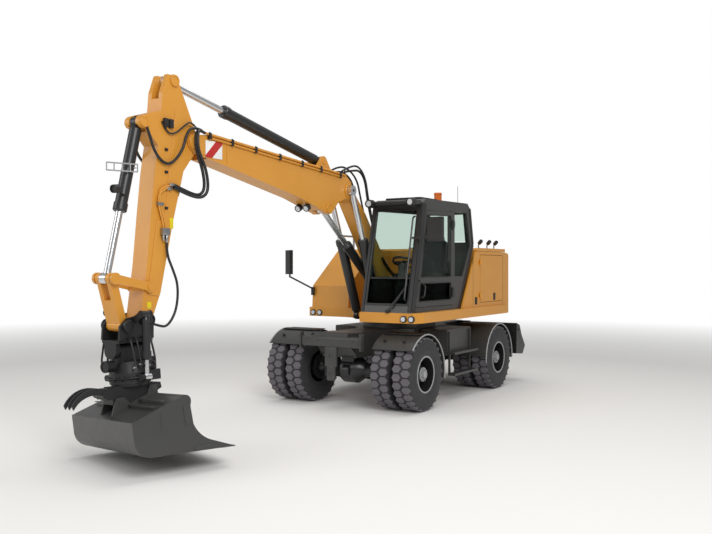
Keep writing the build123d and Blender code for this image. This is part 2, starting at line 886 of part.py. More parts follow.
with BuildPart(machine) as cabHinges:
    for z in doorHinges:
        with Locations((doorPivot[0], doorPivot[1], z + hingeHeight / 2)):
            Cylinder(hingeRadius, hingeHeight + 36)
        for low in (z - 18, z + hingeHeight + runGap):
            with Locations((doorPivot[0], doorPivot[1], low + 9)):
                Cylinder(hingeRadius + 6, 18 - runGap)
            block(
                (doorPivot[0] - 10, doorPivot[0] + 10),
                (cabLeft - 5, doorPivot[1]),
                (low + runGap / 2, low + 18 - runGap / 2),
            )
with BuildPart() as cab:
    add(cabBox.part)
    add(cabHinges.part)
cab.part.label = "cab_shell"
export_step(cab.part, "parts/cab_shell.step")

# Cab glass in the shell: windscreen, rear pane, roof hatch and the fixed side panes
paneGap = 0.4
paneDepth = cabWall / 2


def lean(z):
    """How far forward the windscreen's outer face stands at a height."""
    (lowX, lowZ), (highX, highZ) = cabOutline[:2]
    return lowX + (highX - lowX) * (z - lowZ) / (highZ - lowZ)


with BuildPart(machine) as cabGlass:
    low = 1560 + paneGap
    high = 2960 - paneGap
    with BuildSketch(side(cabLeft - 70 - paneGap)):
        Polygon(
            (lean(low) - paneDepth, low),
            (lean(high) - paneDepth, high),
            (lean(high) - paneDepth - glassThick, high),
            (lean(low) - paneDepth - glassThick, low),
            align=None,
        )
    extrude(amount=cabLeft - cabRight - 140 - 2 * paneGap)
    with BuildSketch(side(cabLeft - paneDepth)):
        Polygon(*rearWindow, align=None)
        offset(amount=-paneGap, mode=Mode.REPLACE)
    extrude(amount=glassThick)
    with BuildSketch(side(cabRight + paneDepth)):
        Polygon(*sideWindow, align=None)
        offset(amount=-paneGap, mode=Mode.REPLACE)
    extrude(amount=glassThick)
    with BuildSketch(side(cabLeft - 110 - paneGap)):
        Polygon((-408, 2540), (-308, 2978), (-300, 2978), (-400, 2540), align=None)
    extrude(amount=cabLeft - cabRight - 220 - 2 * paneGap)
    block(
        (620 + paneGap, 1150 - paneGap),
        (cabRight + 150 + paneGap, cabLeft - 150 - paneGap),
        (3105, 3105 + glassThick),
    )
cabGlass.part.label = "cab_glass"
export_step(cabGlass.part, "parts/cab_glass.step")

# Cab door with its upper and lower windows, two hinges and the outside handle
doorThick = 45
doorFace = cabLeft + 4
with BuildPart(machine) as door:
    with BuildSketch(side(doorFace)):
        Polygon(*doorOutline, align=None)
        offset(amount=-doorGap, mode=Mode.REPLACE)
        Polygon(*doorWindow, align=None, mode=Mode.SUBTRACT)
        Polygon(*lowWindow, align=None, mode=Mode.SUBTRACT)
    extrude(amount=doorThick)
    for z in doorHinges:
        block(
            (doorPivot[0], doorHingeX + 70),
            (doorFace - 1, doorPivot[1] + 10),
            (z + runGap, z + hingeHeight - runGap),
        )
        with Locations((doorPivot[0], doorPivot[1], z + hingeHeight / 2)):
            Cylinder(hingeRadius + 6, hingeHeight - 2 * runGap)
            Cylinder(hingeRadius + runGap, hingeHeight + 2, mode=Mode.SUBTRACT)
    block((1440, 1470), (doorFace - 1, doorFace + 30), (1890, 1920))
door.part.label = "cab_door"
export_step(door.part, "parts/cab_door.step")

with BuildPart(machine) as doorGlass:
    with BuildSketch(side(doorFace - doorThick / 2)):
        Polygon(*doorWindow, align=None)
        Polygon(*lowWindow, align=None)
        offset(amount=-paneGap, mode=Mode.REPLACE)
    extrude(amount=glassThick)
doorGlass.part.label = "door_glass"
export_step(doorGlass.part, "parts/door_glass.step")

# Seat and controls inside the cab
cabMiddle = (cabLeft + cabRight) / 2
floorTop = cabFloor + cabWall + runGap
seatX = 520
with BuildPart(machine) as seat:
    block((seatX - 200, seatX + 200), (cabMiddle - 170, cabMiddle + 170), (floorTop, 1840))
    with BuildSketch(side(cabMiddle + 240)):
        Polygon(
            (seatX + 270, 1830),
            (seatX + 270, 1930),
            (seatX - 150, 1920),
            (seatX - 290, 2560),
            (seatX - 400, 2540),
            (seatX - 280, 1800),
            align=None,
        )
    extrude(amount=480)
    with BuildSketch(side(cabMiddle + 140)):
        Polygon(
            (seatX - 295, 2540), (seatX - 390, 2522), (seatX - 440, 2760), (seatX - 350, 2780), align=None
        )
    extrude(amount=280)
seat.part.label = "seat"
export_step(seat.part, "parts/seat.step")

with BuildPart(machine) as controls:
    for hand in (-1, 1):
        y = sorted((cabMiddle + hand * 250, cabMiddle + hand * 345))
        block((seatX - 240, seatX + 300), y, (floorTop, 2010))
        with Locations((seatX + 240, cabMiddle + hand * 297, 2090)):
            Cylinder(18, 160)
            with Locations((0, 0, 80)):
                Sphere(34)
    with BuildSketch(side(cabMiddle + 60)):
        Polygon(
            (1180, floorTop), (1330, floorTop), (1170, 2170), (1110, 2165), align=None
        )
    extrude(amount=120)
    wheelPlane = Plane(
        origin=(slewX + 1140, cabMiddle, 2170), x_dir=(0, 1, 0), z_dir=(-0.45, 0, 0.9)
    )
    with BuildSketch(wheelPlane):
        Circle(190)
        Circle(162, mode=Mode.SUBTRACT)
        Rectangle(360, 40)
        Circle(50)
    extrude(amount=26)
controls.part.label = "controls"
export_step(controls.part, "parts/controls.step")

# Lamps: under the cab's visor and in the front of the skirt, each round in its housing
roofTop = 3150
with BuildPart(machine) as lamps:
    for y in (cabRight + 75, cabLeft - 75):
        with Locations((visorFront + runGap + 35, y, visorZ)):
            Cylinder(lampRadius + 10, 70, rotation=(0, 90, 0))
        with Locations((visorFront + runGap + 45, y, visorZ)):
            Cylinder(lampRadius, 90, rotation=(0, 90, 0))
    for y in (cabLeft + 2, cabLeft - 126):
        edge = 1690 + (skirtHalf - 60 - y + 38) * 25 / (skirtHalf - 60 - bayLeft)
        with Locations((edge + runGap + 16, y, skirtLampZ)):
            Cylinder(lampRadius - 8, 32, rotation=(0, 90, 0))
    for y in (80 - skirtHalf, 210 - skirtHalf):
        with Locations((tankFront + runGap + 11, y, skirtLampZ)):
            Cylinder(lampRadius - 8, 22, rotation=(0, 90, 0))
lamps.part.label = "lamps"
export_step(lamps.part, "parts/lamps.step")

with BuildPart(machine) as beacon:
    with Locations((-60, 700, roofTop + runGap + 12)):
        Cylinder(75, 24)
        with Locations((0, 0, 92)):
            Cylinder(62, 160)
beacon.part.label = "beacon"
export_step(beacon.part, "parts/beacon.step")

# Mirrors on their arms: left on the cab's front pillar, right on the tank's nose
mirrorX = 1530
mirrorY = -bodyHalf - 240
mirrorArm = 14
with BuildPart(machine) as mirrors:
    block((mirrorX, mirrorX + 60), (cabLeft + 200, cabLeft + 440), (2480, 2830))
    block((mirrorX + 10, mirrorX + 40), (cabLeft - 60, cabLeft + 230), (2520, 2550))
    block((lean(2520) + runGap, mirrorX + 40), (cabLeft - 60, cabLeft - 30), (2520, 2550))
    with Locations(Location((1170, mirrorY, 2190), (0, 0, -34))):
        Box(60, 210, 400)
    tube((1165, mirrorY + 10, 2010), (1165, mirrorY + 10, 1940), mirrorArm)
    tube((1165, mirrorY + 10, 1950), (880, 30 - bodyHalf, 1750), mirrorArm)
    block((tankFront + runGap, tankFront + 36), (5 - bodyHalf, 55 - bodyHalf), (1640, 1775))
mirrors.part.label = "mirrors"
export_step(mirrors.part, "parts/mirrors.step")

# Handrail on the tank's right side
railRadius = 17
with BuildPart(machine) as rails:
    for x in (-380, 40):
        with Locations((x, 50 - bodyHalf, tankTop + 120)):
            Cylinder(railRadius, 240)
    with Locations((-170, 50 - bodyHalf, tankTop + 240)):
        Cylinder(railRadius, 454, rotation=(0, 90, 0))
rails.part.label = "handrails"
export_step(rails.part, "parts/handrails.step")

# Stub boom: from the revolving frame to the main pivot, with the fork of the angle cylinder
with BuildPart(machine) as stubBoom:
    with BuildSketch(side()):
        Polygon(
            (400, 1810),
            (800, 2400),
            (1250, 2935),
            (1690, 3345),
            (1890, 3200),
            (1700, 3080),
            (1340, 2620),
            (1140, 2360),
            (930, 2060),
            (790, 1865),
            (850, 1740),
            (540, 1615),
            align=None,
        )
        for point, radius in ((footPivot, 125), (mainPivot, 118), (angleBase, 75)):
            with Locations(point):
                Circle(radius)
    extrude(amount=stubHalf, both=True)
    with BuildSketch(side()):
        with Locations(angleBase):
            Circle(angleRam["eye"] + 15)
    extrude(amount=angleRam["eyeHalf"] + moveGap, both=True, mode=Mode.SUBTRACT)
    with BuildSketch(ramPlane(angleBase, angleEye, 0)):
        Polygon((51, -60), (51, 90), (420, 160), (420, -95), align=None)
    extrude(amount=angleRam["barrel"] + moveGap, both=True, mode=Mode.SUBTRACT)
    crossPin(angleBase, angleRam["pin"], -stubHalf, stubHalf)
    crossPin(footPivot, 55 + runGap, -stubHalf - 1, stubHalf + 1, mode=Mode.SUBTRACT)
    crossPin(mainPivot, 60 + runGap, -stubHalf - 1, stubHalf + 1, mode=Mode.SUBTRACT)
stubBoom.part.label = "stub_boom"
export_step(stubBoom.part, "parts/stub_boom.step")

# Main boom: a tapering box with plate forks at its pivots and the pedestal of the stick cylinder
forkInner = stubHalf + moveGap
with BuildPart(machine) as mainBoom:
    with BuildSketch(side()):
        Polygon(
            (1720, 3380),
            (1850, 3460),
            (3670, 3582),
            (4860, 3665),
            (5125, 3632),
            (5135, 3470),
            (5090, 3430),
            (3050, 3065),
            (2360, 2890),
            (2250, 2890),
            (2070, 3060),
            (1850, 3140),
            align=None,
        )
        for point, radius in ((mainPivot, 130), (stickPivot, 95), (angleEye, 85)):
            with Locations(point):
                Circle(radius)
    extrude(amount=boomHalf, both=True)
    with BuildSketch(side()):
        with Locations(mainPivot):
            Circle(200)
    extrude(amount=forkInner, both=True, mode=Mode.SUBTRACT)
    with BuildSketch(side()):
        with Locations(stickPivot):
            Circle(300)
    extrude(amount=stickHalf + moveGap, both=True, mode=Mode.SUBTRACT)
    with BuildSketch(side()):
        with Locations(angleEye):
            Circle(175)
    extrude(amount=angleRam["eyeHalf"] + moveGap, both=True, mode=Mode.SUBTRACT)
    with BuildSketch(side()):
        with Locations(stickBase):
            Circle(72)
            Polygon((-220, -165), (220, -135), (55, 50), (-55, 50), align=None)
    extrude(amount=stickRam["barrel"] + 34, both=True)
    with BuildSketch(side()):
        with Locations(stickBase):
            Circle(stickRam["eye"] + 12)
    extrude(amount=stickRam["eyeHalf"] + moveGap, both=True, mode=Mode.SUBTRACT)
    with BuildSketch(ramPlane(stickBase, stickEye, 0)):
        Polygon((50, -85), (50, 85), (400, 120), (400, -125), align=None)
    extrude(amount=stickRam["barrel"] + moveGap, both=True, mode=Mode.SUBTRACT)
    crossPin(stickBase, stickRam["pin"], -stickRam["barrel"] - 42, stickRam["barrel"] + 42)
    crossPin(mainPivot, 60, -boomHalf - 8, boomHalf + 8)
    crossPin(stickPivot, 55, -boomHalf - 8, boomHalf + 8)
mainBoom.part.label = "main_boom"
export_step(mainBoom.part, "parts/main_boom.step")

# Stick: a box arm with a fork for the stick cylinder, lugs for the bucket cylinder and link pins
with BuildPart(machine) as stick:
    with BuildSketch(side()):
        Polygon(
            (5330, 4255),
            (5480, 4262),
            (5560, 4050),
            (5600, 3600),
            (5680, 3130),
            (5730, 2700),
            (5790, 2140),
            (5880, 1560),
            (5720, 1530),
            (5590, 1830),
            (5400, 2620),
            (5235, 3200),
            (4995, 3500),
            (5020, 3640),
            (5310, 4200),
            align=None,
        )
        for point, radius in (
            (stickEye, 72), (stickPivot, 105), (tipPivot, 85), (bucketBase, 70), (idlerPivot, 60)
        ):
            with Locations(point):
                Circle(radius)
        Polygon((5540, 3850), (5860, 3745), (5800, 3620), (5600, 3420), align=None)
    extrude(amount=stickHalf, both=True)
    with BuildSketch(side()):
        with Locations(stickEye):
            Circle(290)
        Polygon((5600, 3560), (5600, 4300), (6000, 4300), (6000, 3560), align=None, mode=Mode.SUBTRACT)
    extrude(amount=stickRam["eyeHalf"] + moveGap, both=True, mode=Mode.SUBTRACT)
    with BuildSketch(side()):
        with Locations(bucketBase):
            Circle(bucketRam["eye"] + 14)
    extrude(amount=bucketRam["eyeHalf"] + moveGap, both=True, mode=Mode.SUBTRACT)
    with BuildSketch(ramPlane(bucketBase, linkPivot, 0)):
        Polygon((45, -85), (45, 85), (400, 100), (400, -110), align=None)
    extrude(amount=bucketRam["barrel"] + moveGap, both=True, mode=Mode.SUBTRACT)
    crossPin(bucketBase, bucketRam["pin"], -stickHalf - 10, stickHalf + 10)
    crossPin(idlerPivot, 40, -stickHalf - 50, stickHalf + 50)
    crossPin(stickPivot, 55 + runGap, -stickHalf - 1, stickHalf + 1, mode=Mode.SUBTRACT)
    crossPin(tipPivot, 42 + runGap, -stickHalf - 1, stickHalf + 1, mode=Mode.SUBTRACT)
stick.part.label = "stick"
export_step(stick.part, "parts/stick.step")

# Hydraulic cylinders of the arm
liftBarrels, liftRods = ramPair(liftBase, mainPivot, liftY, liftRam)
liftBarrels.label = "lift_barrels"
export_step(liftBarrels, "parts/lift_barrels.step")
liftRods.label = "lift_rods"
export_step(liftRods, "parts/lift_rods.step")

for name, base, eye, ram in (
    ("angle", angleBase, angleEye, angleRam),
    ("stick", stickBase, stickEye, stickRam),
    ("bucket", bucketBase, linkPivot, bucketRam),
):
    ramFrame = ramPlane(base, eye, 0)
    barrelPart = ramBarrel(ramFrame, ram)
    barrelPart.label = f"{name}_barrel"
    export_step(barrelPart, f"parts/{name}_barrel.step")
    rodPart = ramRod(ramFrame, distance(base, eye), ram)
    rodPart.label = f"{name}_rod"
    export_step(rodPart, f"parts/{name}_rod.step")

# Idler links beside the stick and the link down to the tool hitch
idlerInner = stickHalf + 8
with BuildPart(machine) as idlers:
    for hand in (-1, 1):
        with BuildSketch(side(hand * idlerInner)):
            middle = ((idlerPivot[0] + linkPivot[0]) / 2, (idlerPivot[1] + linkPivot[1]) / 2)
            with Locations(middle):
                Rectangle(
                    distance(idlerPivot, linkPivot), 90, rotation=heading(idlerPivot, linkPivot)
                )
            for point in (idlerPivot, linkPivot):
                with Locations(point):
                    Circle(62)
            with Locations(idlerPivot):
                Circle(40 + runGap, mode=Mode.SUBTRACT)
        extrude(amount=-hand * 32)
idlers.part.label = "idler_links"
export_step(idlers.part, "parts/idler_links.step")

linkHalf = 102
with BuildPart(machine) as link:
    middle = ((hitchPivot[0] + linkPivot[0]) / 2, (hitchPivot[1] + linkPivot[1]) / 2)
    with BuildSketch(side()):
        with Locations(middle):
            Rectangle(distance(hitchPivot, linkPivot), 95, rotation=heading(hitchPivot, linkPivot))
        for point in (hitchPivot, linkPivot):
            with Locations(point):
                Circle(60)
    extrude(amount=linkHalf, both=True)
    with BuildSketch(side()):
        with Locations(linkPivot):
            Circle(230)
    extrude(amount=bucketRam["eyeHalf"] + moveGap, both=True, mode=Mode.SUBTRACT)
    crossPin(hitchPivot, 42 + runGap, -linkHalf - 1, linkHalf + 1, mode=Mode.SUBTRACT)
link.part.label = "bucket_link"
export_step(link.part, "parts/bucket_link.step")

# Tool hitch: ears on the stick and link pins, a deck, and the hanger of the tilt bearing
tilted = Plane(
    origin=(slewX + toolX, 0, tiltZ),
    x_dir=(1, 0, 0),
    z_dir=(0, -math.sin(math.radians(toolRoll)), math.cos(math.radians(toolRoll))),
)
turned = Plane(
    origin=tilted.origin,
    x_dir=tilted.x_dir * math.cos(math.radians(toolTurn))
    + tilted.y_dir * math.sin(math.radians(toolTurn)),
    z_dir=tilted.z_dir,
)
earHalf = stickHalf + moveGap
earThick = 25
earOutside = earHalf + earThick
deckZ = 1340
with BuildPart(machine) as hitch:
    for hand in (-1, 1):
        with BuildSketch(side(hand * earHalf)):
            Polygon(
                (5720, 1530),
                (5790, 1620),
                (6100, 1570),
                (6190, 1490),
                (6200, deckZ),
                (5720, deckZ),
                align=None,
            )
        extrude(amount=-hand * earThick)
        for point in (tipPivot, hitchPivot):
            crossPin(point, 60, *sorted((hand * (earOutside - 1), hand * (earOutside + 20))))
        pinY = hand * tiltBase[0]
        pinZ = tiltZ + tiltBase[1]
        for x in (toolX + tiltRamX - 70, toolX + tiltRamX + 50):
            with BuildSketch(across(x)):
                Polygon(
                    (hand * (earOutside - 10), pinZ - 130),
                    (hand * (earOutside - 10), pinZ - 50),
                    (pinY, pinZ + 38),
                    (pinY, pinZ - 38),
                    align=None,
                )
                with Locations((pinY, pinZ)):
                    Circle(38)
            extrude(amount=20)
        with Locations((toolX + tiltRamX, pinY, pinZ)):
            Cylinder(tiltRam["pin"], 152, rotation=(0, 90, 0))
    block((5720, 6200), (-earHalf - 8, earHalf + 8), (deckZ - 30, deckZ))
    for x in (5720, 6150):
        block((x, x + 50), (-90, 90), (tiltZ, deckZ - 10))
        with Locations((x + 25, 0, tiltZ)):
            Cylinder(90, 50, rotation=(0, 90, 0))
    with Locations((toolX + 10, 0, tiltZ)):
        Cylinder(40, 480, rotation=(0, 90, 0))
    for point in (tipPivot, hitchPivot):
        crossPin(point, 42, -earHalf - 10, earHalf + 10)
hitch.part.label = "tool_hitch"
export_step(hitch.part, "parts/tool_hitch.step")

# Tilt cylinders, one on each side, in an upright plane across the machine
for handName, hand, closing in (("left", 1, 139), ("right", -1, 186)):
    roll = math.radians(toolRoll)
    eyeY = hand * tiltEye[0] * math.cos(roll) - tiltEye[1] * math.sin(roll)
    eyeZ = hand * tiltEye[0] * math.sin(roll) + tiltEye[1] * math.cos(roll)
    base = (hand * tiltBase[0], tiltBase[1])
    tiltFrame = Plane(
        origin=(slewX + toolX + tiltRamX, base[0], tiltZ + base[1]),
        x_dir=(0, eyeY - base[0], eyeZ - base[1]),
        z_dir=(1, 0, 0),
    )
    barrelPart = ramBarrel(tiltFrame, tiltRam)
    barrelPart.label = f"tilt_barrel_{handName}"
    export_step(barrelPart, f"parts/tilt_barrel_{handName}.step")
    ram = dict(tiltRam, closing=closing)
    rodPart = ramRod(tiltFrame, distance(base, (eyeY, eyeZ)), ram)
    rodPart.label = f"tilt_rod_{handName}"
    export_step(rodPart, f"parts/tilt_rod_{handName}.step")

# Rotor housing: hangs on the tilt pin, with the worm-gear case and the lugs of the tilt cylinders
rotorBottom = -360
slotHalf = tiltRam["barrel"] + 9 + moveGap
with BuildPart(tilted) as rotorHousing:
    with BuildSketch(Plane(origin=tilted.origin, x_dir=tilted.x_dir, z_dir=-tilted.y_dir)):
        Polygon(
            (0, -130),
            (175, -130),
            (195, -185),
            (215, -245),
            (215, rotorBottom),
            (0, rotorBottom),
            align=None,
        )
    revolve(axis=Axis(tilted.origin, tilted.z_dir))
    block((-150, 170), (-70, 70), (-150, 0))
    with Locations((10, 0, 0)):
        Cylinder(70, 366, rotation=(0, 90, 0))
    block((-290, -120), (-160, 160), (-350, -240))
    for hand in (-1, 1):
        with Locations((tiltRamX, hand * tiltEye[0], tiltEye[1])):
            Cylinder(72, 2 * slotHalf, rotation=(0, 90, 0), mode=Mode.SUBTRACT)
        for x in (tiltRamX - slotHalf - 11, tiltRamX + slotHalf + 11):
            block(
                (x - 11, x + 11),
                sorted((hand * 150, hand * tiltEye[0])),
                (tiltEye[1] - 34, tiltEye[1] + 34),
            )
            with Locations((x, hand * tiltEye[0], tiltEye[1])):
                Cylinder(34, 22, rotation=(0, 90, 0))
    with Locations((10, 0, 0)):
        Cylinder(40 + runGap, 400, rotation=(0, 90, 0), mode=Mode.SUBTRACT)
rotorHousing.part.label = "rotor_housing"
export_step(rotorHousing.part, "parts/rotor_housing.step")

# Bucket hitch under the rotor, with the gripper in front of it
turnedSide = Plane(origin=turned.origin, x_dir=turned.x_dir, z_dir=-turned.y_dir)
couplerTop = rotorBottom - runGap
with BuildPart(turned) as coupler:
    with Locations((0, 0, couplerTop - 12)):
        Cylinder(200, 24)
    with BuildSketch(turnedSide):
        Polygon(
            (250, couplerTop - 20),
            (-290, couplerTop - 20),
            (-300, -440),
            (-240, -470),
            (180, -590),
            (260, -560),
            align=None,
        )
    extrude(amount=couplerHalf, both=True)
    for x, z in bucketPins:
        with Locations((x, 0, z)):
            Cylinder(bucketPin + runGap, 2 * couplerHalf + 2, rotation=(90, 0, 0), mode=Mode.SUBTRACT)
    block((240, 330), (-gripHalf, gripHalf), (-500, -390))
    with Locations((330, 0, -445)):
        Cylinder(42, 2 * gripHalf, rotation=(90, 0, 0))
    for y in (-gripHalf + clawThick, 0, gripHalf - clawThick):
        with BuildSketch(turnedSide.offset(-y)):
            with BuildLine():
                ThreePointArc((300, -405), (500, -375), (clawReach, -520))
                Line((clawReach, -520), (clawReach - 15, -560))
                ThreePointArc((clawReach - 15, -560), (500, -440), (300, -485))
                Line((300, -485), (300, -405))
            make_face()
        extrude(amount=clawThick / 2, both=True)
coupler.part.label = "rotor_coupler"
export_step(coupler.part, "parts/rotor_coupler.step")

# Grading bucket: a rolled shell between two side plates, with its ears and pins
bucketBack = (362, 36)
bucketHeel = (349, -165)
bucketFloor = (150, -330)
bucketLip = (-790, -370)
bucketThroat = (-500, -258)
bucketWaist = (-292, 150)
bucketTop = (-187, 225)
bucketSide = Plane(
    origin=turned.origin + turned.z_dir * bucketZ, x_dir=turned.x_dir, z_dir=-turned.y_dir
)


def bucketProfile():
    """The side plate's outline: straight top, cut-back mouth, flat floor and rolled heel."""
    with BuildLine() as outline:
        Line(bucketBack, bucketTop)
        ThreePointArc(bucketTop, (-272, 222), bucketWaist)
        ThreePointArc(bucketWaist, (-314, -82), bucketThroat)
        Line(bucketThroat, bucketLip)
        Line(bucketLip, bucketFloor)
        ThreePointArc(bucketFloor, (295, -275), bucketHeel)
        Line(bucketHeel, bucketBack)
    make_face(outline.edges())


with BuildPart(turned) as bucket:
    with BuildSketch(bucketSide):
        bucketProfile()
    extrude(amount=bucketHalf, both=True)
    with BuildSketch(bucketSide):
        bucketProfile()
        offset(amount=-bucketPlate, mode=Mode.REPLACE)
        Polygon(
            (-150, 130),
            (-330, 130),
            (-330, 0),
            (-900, -300),
            (-900, -345),
            (-740, -352),
            (-150, -300),
            align=None,
        )
    extrude(amount=bucketHalf - sidePlate, both=True, mode=Mode.SUBTRACT)
    with Locations((-222, 0, bucketZ + 190)):
        Cylinder(42, 2 * bucketHalf - sidePlate, rotation=(90, 0, 0))
    for hand in (-1, 1):
        with BuildSketch(turnedSide.offset(-hand * (couplerHalf + 7))):
            Polygon(
                (300, -690),
                (235, -490),
                (150, -490),
                (90, -560),
                (-110, -490),
                (-150, -396),
                (-232, -396),
                (-236, -520),
                align=None,
            )
        extrude(amount=-hand * 30)
    for x, z in bucketPins:
        with Locations((x, 0, z)):
            Cylinder(bucketPin, 2 * couplerHalf + 84, rotation=(90, 0, 0))
bucket.part.label = "bucket"
export_step(bucket.part, "parts/bucket.step")
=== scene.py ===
import json
import math

import bmesh
import bpy
from mathutils import Matrix, Vector


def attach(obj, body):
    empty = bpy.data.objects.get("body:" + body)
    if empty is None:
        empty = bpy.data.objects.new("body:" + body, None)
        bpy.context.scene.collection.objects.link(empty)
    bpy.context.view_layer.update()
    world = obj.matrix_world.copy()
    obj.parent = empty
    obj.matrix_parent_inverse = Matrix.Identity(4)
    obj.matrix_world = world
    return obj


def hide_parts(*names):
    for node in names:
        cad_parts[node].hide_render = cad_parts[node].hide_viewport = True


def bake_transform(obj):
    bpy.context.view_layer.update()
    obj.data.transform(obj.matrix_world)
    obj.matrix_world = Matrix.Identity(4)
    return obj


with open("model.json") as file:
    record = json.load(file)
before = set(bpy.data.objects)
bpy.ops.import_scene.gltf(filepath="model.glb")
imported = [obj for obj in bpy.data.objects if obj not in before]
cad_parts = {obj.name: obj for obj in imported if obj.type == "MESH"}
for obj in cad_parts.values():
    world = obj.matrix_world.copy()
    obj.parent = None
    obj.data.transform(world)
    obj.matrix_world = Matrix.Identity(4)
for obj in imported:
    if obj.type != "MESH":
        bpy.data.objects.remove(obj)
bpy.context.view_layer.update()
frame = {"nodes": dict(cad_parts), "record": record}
nodes = frame["nodes"]
print("frame loaded:", len(nodes), "nodes")

slewX = -2.042  # the slew centre, seen from the frame's origin


# colours are written as sRGB hex values and turned to linear here and nowhere else
def linear(hexColour, alpha=1.0):
    channels = [int(hexColour[i : i + 2], 16) / 255 for i in (0, 2, 4)]
    return [c / 12.92 if c <= 0.04045 else ((c + 0.055) / 1.055) ** 2.4 for c in channels] + [alpha]


def addNode(tree, kind, inputs=None, **settings):
    new = tree.nodes.new(kind)
    for key, value in settings.items():
        setattr(new, key, value)
    for key, value in (inputs or {}).items():
        if isinstance(value, bpy.types.NodeSocket):
            tree.links.new(value, new.inputs[key])
        else:
            new.inputs[key].default_value = value
    return new


def startMaterial(name):
    material = bpy.data.materials.new(name)
    material.use_nodes = True
    tree = material.node_tree
    shader = tree.nodes["Principled BSDF"]
    coords = tree.nodes.new("ShaderNodeTexCoord").outputs["Object"]
    return material, tree, shader, coords


# sprayed machine enamel: a smooth coat whose tone drifts a little over large panels, with fine orange peel
# (an RGBA mix node takes its two colours on sockets 6 and 7 and gives the result on output 2)
def enamel(name, colour, shade, roughness, coat, peel=0.04, metres=0.35):
    material, tree, shader, coords = startMaterial(name)
    drift = addNode(tree, "ShaderNodeTexNoise", {"Vector": coords, "Scale": 1 / metres, "Detail": 3.0})
    dust = addNode(tree, "ShaderNodeTexNoise", {"Vector": coords, "Scale": 14.0, "Detail": 6.0})
    blend = addNode(
        tree,
        "ShaderNodeMix",
        {"Factor": drift.outputs["Fac"], 6: linear(colour), 7: linear(shade)},
        data_type="RGBA",
    )
    tree.links.new(blend.outputs[2], shader.inputs["Base Color"])
    rough = addNode(
        tree,
        "ShaderNodeMapRange",
        {"Value": dust.outputs["Fac"], "To Min": roughness - 0.06, "To Max": roughness + 0.08},
    )
    tree.links.new(rough.outputs["Result"], shader.inputs["Roughness"])
    orangePeel = addNode(tree, "ShaderNodeTexNoise", {"Vector": coords, "Scale": 260.0, "Detail": 2.0})
    bump = addNode(
        tree,
        "ShaderNodeBump",
        {"Height": orangePeel.outputs["Fac"], "Strength": peel, "Distance": 0.002},
    )
    tree.links.new(bump.outputs["Normal"], shader.inputs["Normal"])
    shader.inputs["Coat Weight"].default_value = coat
    shader.inputs["Coat Roughness"].default_value = 0.12
    return material


orangeEnamel = enamel("orangeEnamel", "DC9A38", "D39030", 0.36, 0.25)
greyEnamel = enamel("greyEnamel", "3F3F3E", "393938", 0.40, 0.15)
blackEnamel = enamel("blackEnamel", "222223", "1C1C1D", 0.38, 0.2)


# a moulded or cast surface: two close tones and a shallow bump, both from the same grain
def grained(name, colour, shade, roughness, scale, detail=3.0, strength=0.12, depth=0.001):
    material, tree, shader, coords = startMaterial(name)
    grain = addNode(tree, "ShaderNodeTexNoise", {"Vector": coords, "Scale": scale, "Detail": detail})
    blend = addNode(
        tree,
        "ShaderNodeMix",
        {"Factor": grain.outputs["Fac"], 6: linear(colour), 7: linear(shade)},
        data_type="RGBA",
    )
    tree.links.new(blend.outputs[2], shader.inputs["Base Color"])
    bump = addNode(
        tree, "ShaderNodeBump", {"Height": grain.outputs["Fac"], "Strength": strength, "Distance": depth}
    )
    tree.links.new(bump.outputs["Normal"], shader.inputs["Normal"])
    shader.inputs["Roughness"].default_value = roughness
    return material


# black-painted iron casting: sand-mould grain shows through the paint
castBlack = grained("castBlack", "222223", "19191A", 0.48, 110.0, 5.0, 0.35, 0.003)
# tyre and hose rubber: soft black with a slight random change of tone; the tread blocks get a lighter, duller
# grey that is a painted highlight, the light on their faces laid into the colour
tyreRubber = grained("tyreRubber", "2A2A2C", "3A3A3C", 0.62, 18.0, 5.0, 0.15)
hoseRubber = grained("hoseRubber", "1B1B1C", "242426", 0.45, 60.0, 5.0, 0.15)
paintedHighlightTread = grained("paintedHighlightTread", "5B585D", "6C686E", 0.8, 26.0, 5.0, 0.15)
# injection-moulded ABS: even black with a fine mould texture
blackPlastic = grained("mouldedBlack", "1E1E1F", "252526", 0.45, 300.0)
# woven seat cover: dull dark grey, its threads drawn as fine grain
seatCloth = grained("seatCloth", "3A3B3E", "2F3033", 0.85, 500.0)
# printed vinyl label with nothing on it
tagYellow = grained("tagYellow", "E9D21C", "DEC717", 0.35, 200.0)
# polycarbonate lenses: glossy, with a faint change of tone
clearLens = grained("clearLens", "D9DCE0", "C9CDD2", 0.12, 40.0)
amberLens = grained("amberLens", "E8731A", "DE6A14", 0.18, 30.0)


# bare metal whose finish changes only how sharply it reflects
def bareMetal(name, colour, scale, detail, sharp, dull):
    material, tree, shader, coords = startMaterial(name)
    grind = addNode(tree, "ShaderNodeTexNoise", {"Vector": coords, "Scale": scale, "Detail": detail})
    rough = addNode(
        tree, "ShaderNodeMapRange", {"Value": grind.outputs["Fac"], "To Min": sharp, "To Max": dull}
    )
    tree.links.new(rough.outputs["Result"], shader.inputs["Roughness"])
    shader.inputs["Base Color"].default_value = linear(colour)
    shader.inputs["Metallic"].default_value = 1.0
    return material


# hard chrome on a ground rod, and mild steel left bare by grinding and wear
hardChrome = bareMetal("hardChrome", "D8D9DB", 220.0, 1.0, 0.20, 0.26)
bareSteel = bareMetal("bareSteel", "A9A9AA", 90.0, 4.0, 0.28, 0.45)
flangeGrey = enamel("flangeGrey", "A6A7A8", "989A9B", 0.38, 0.2)


waistRail = 1.945


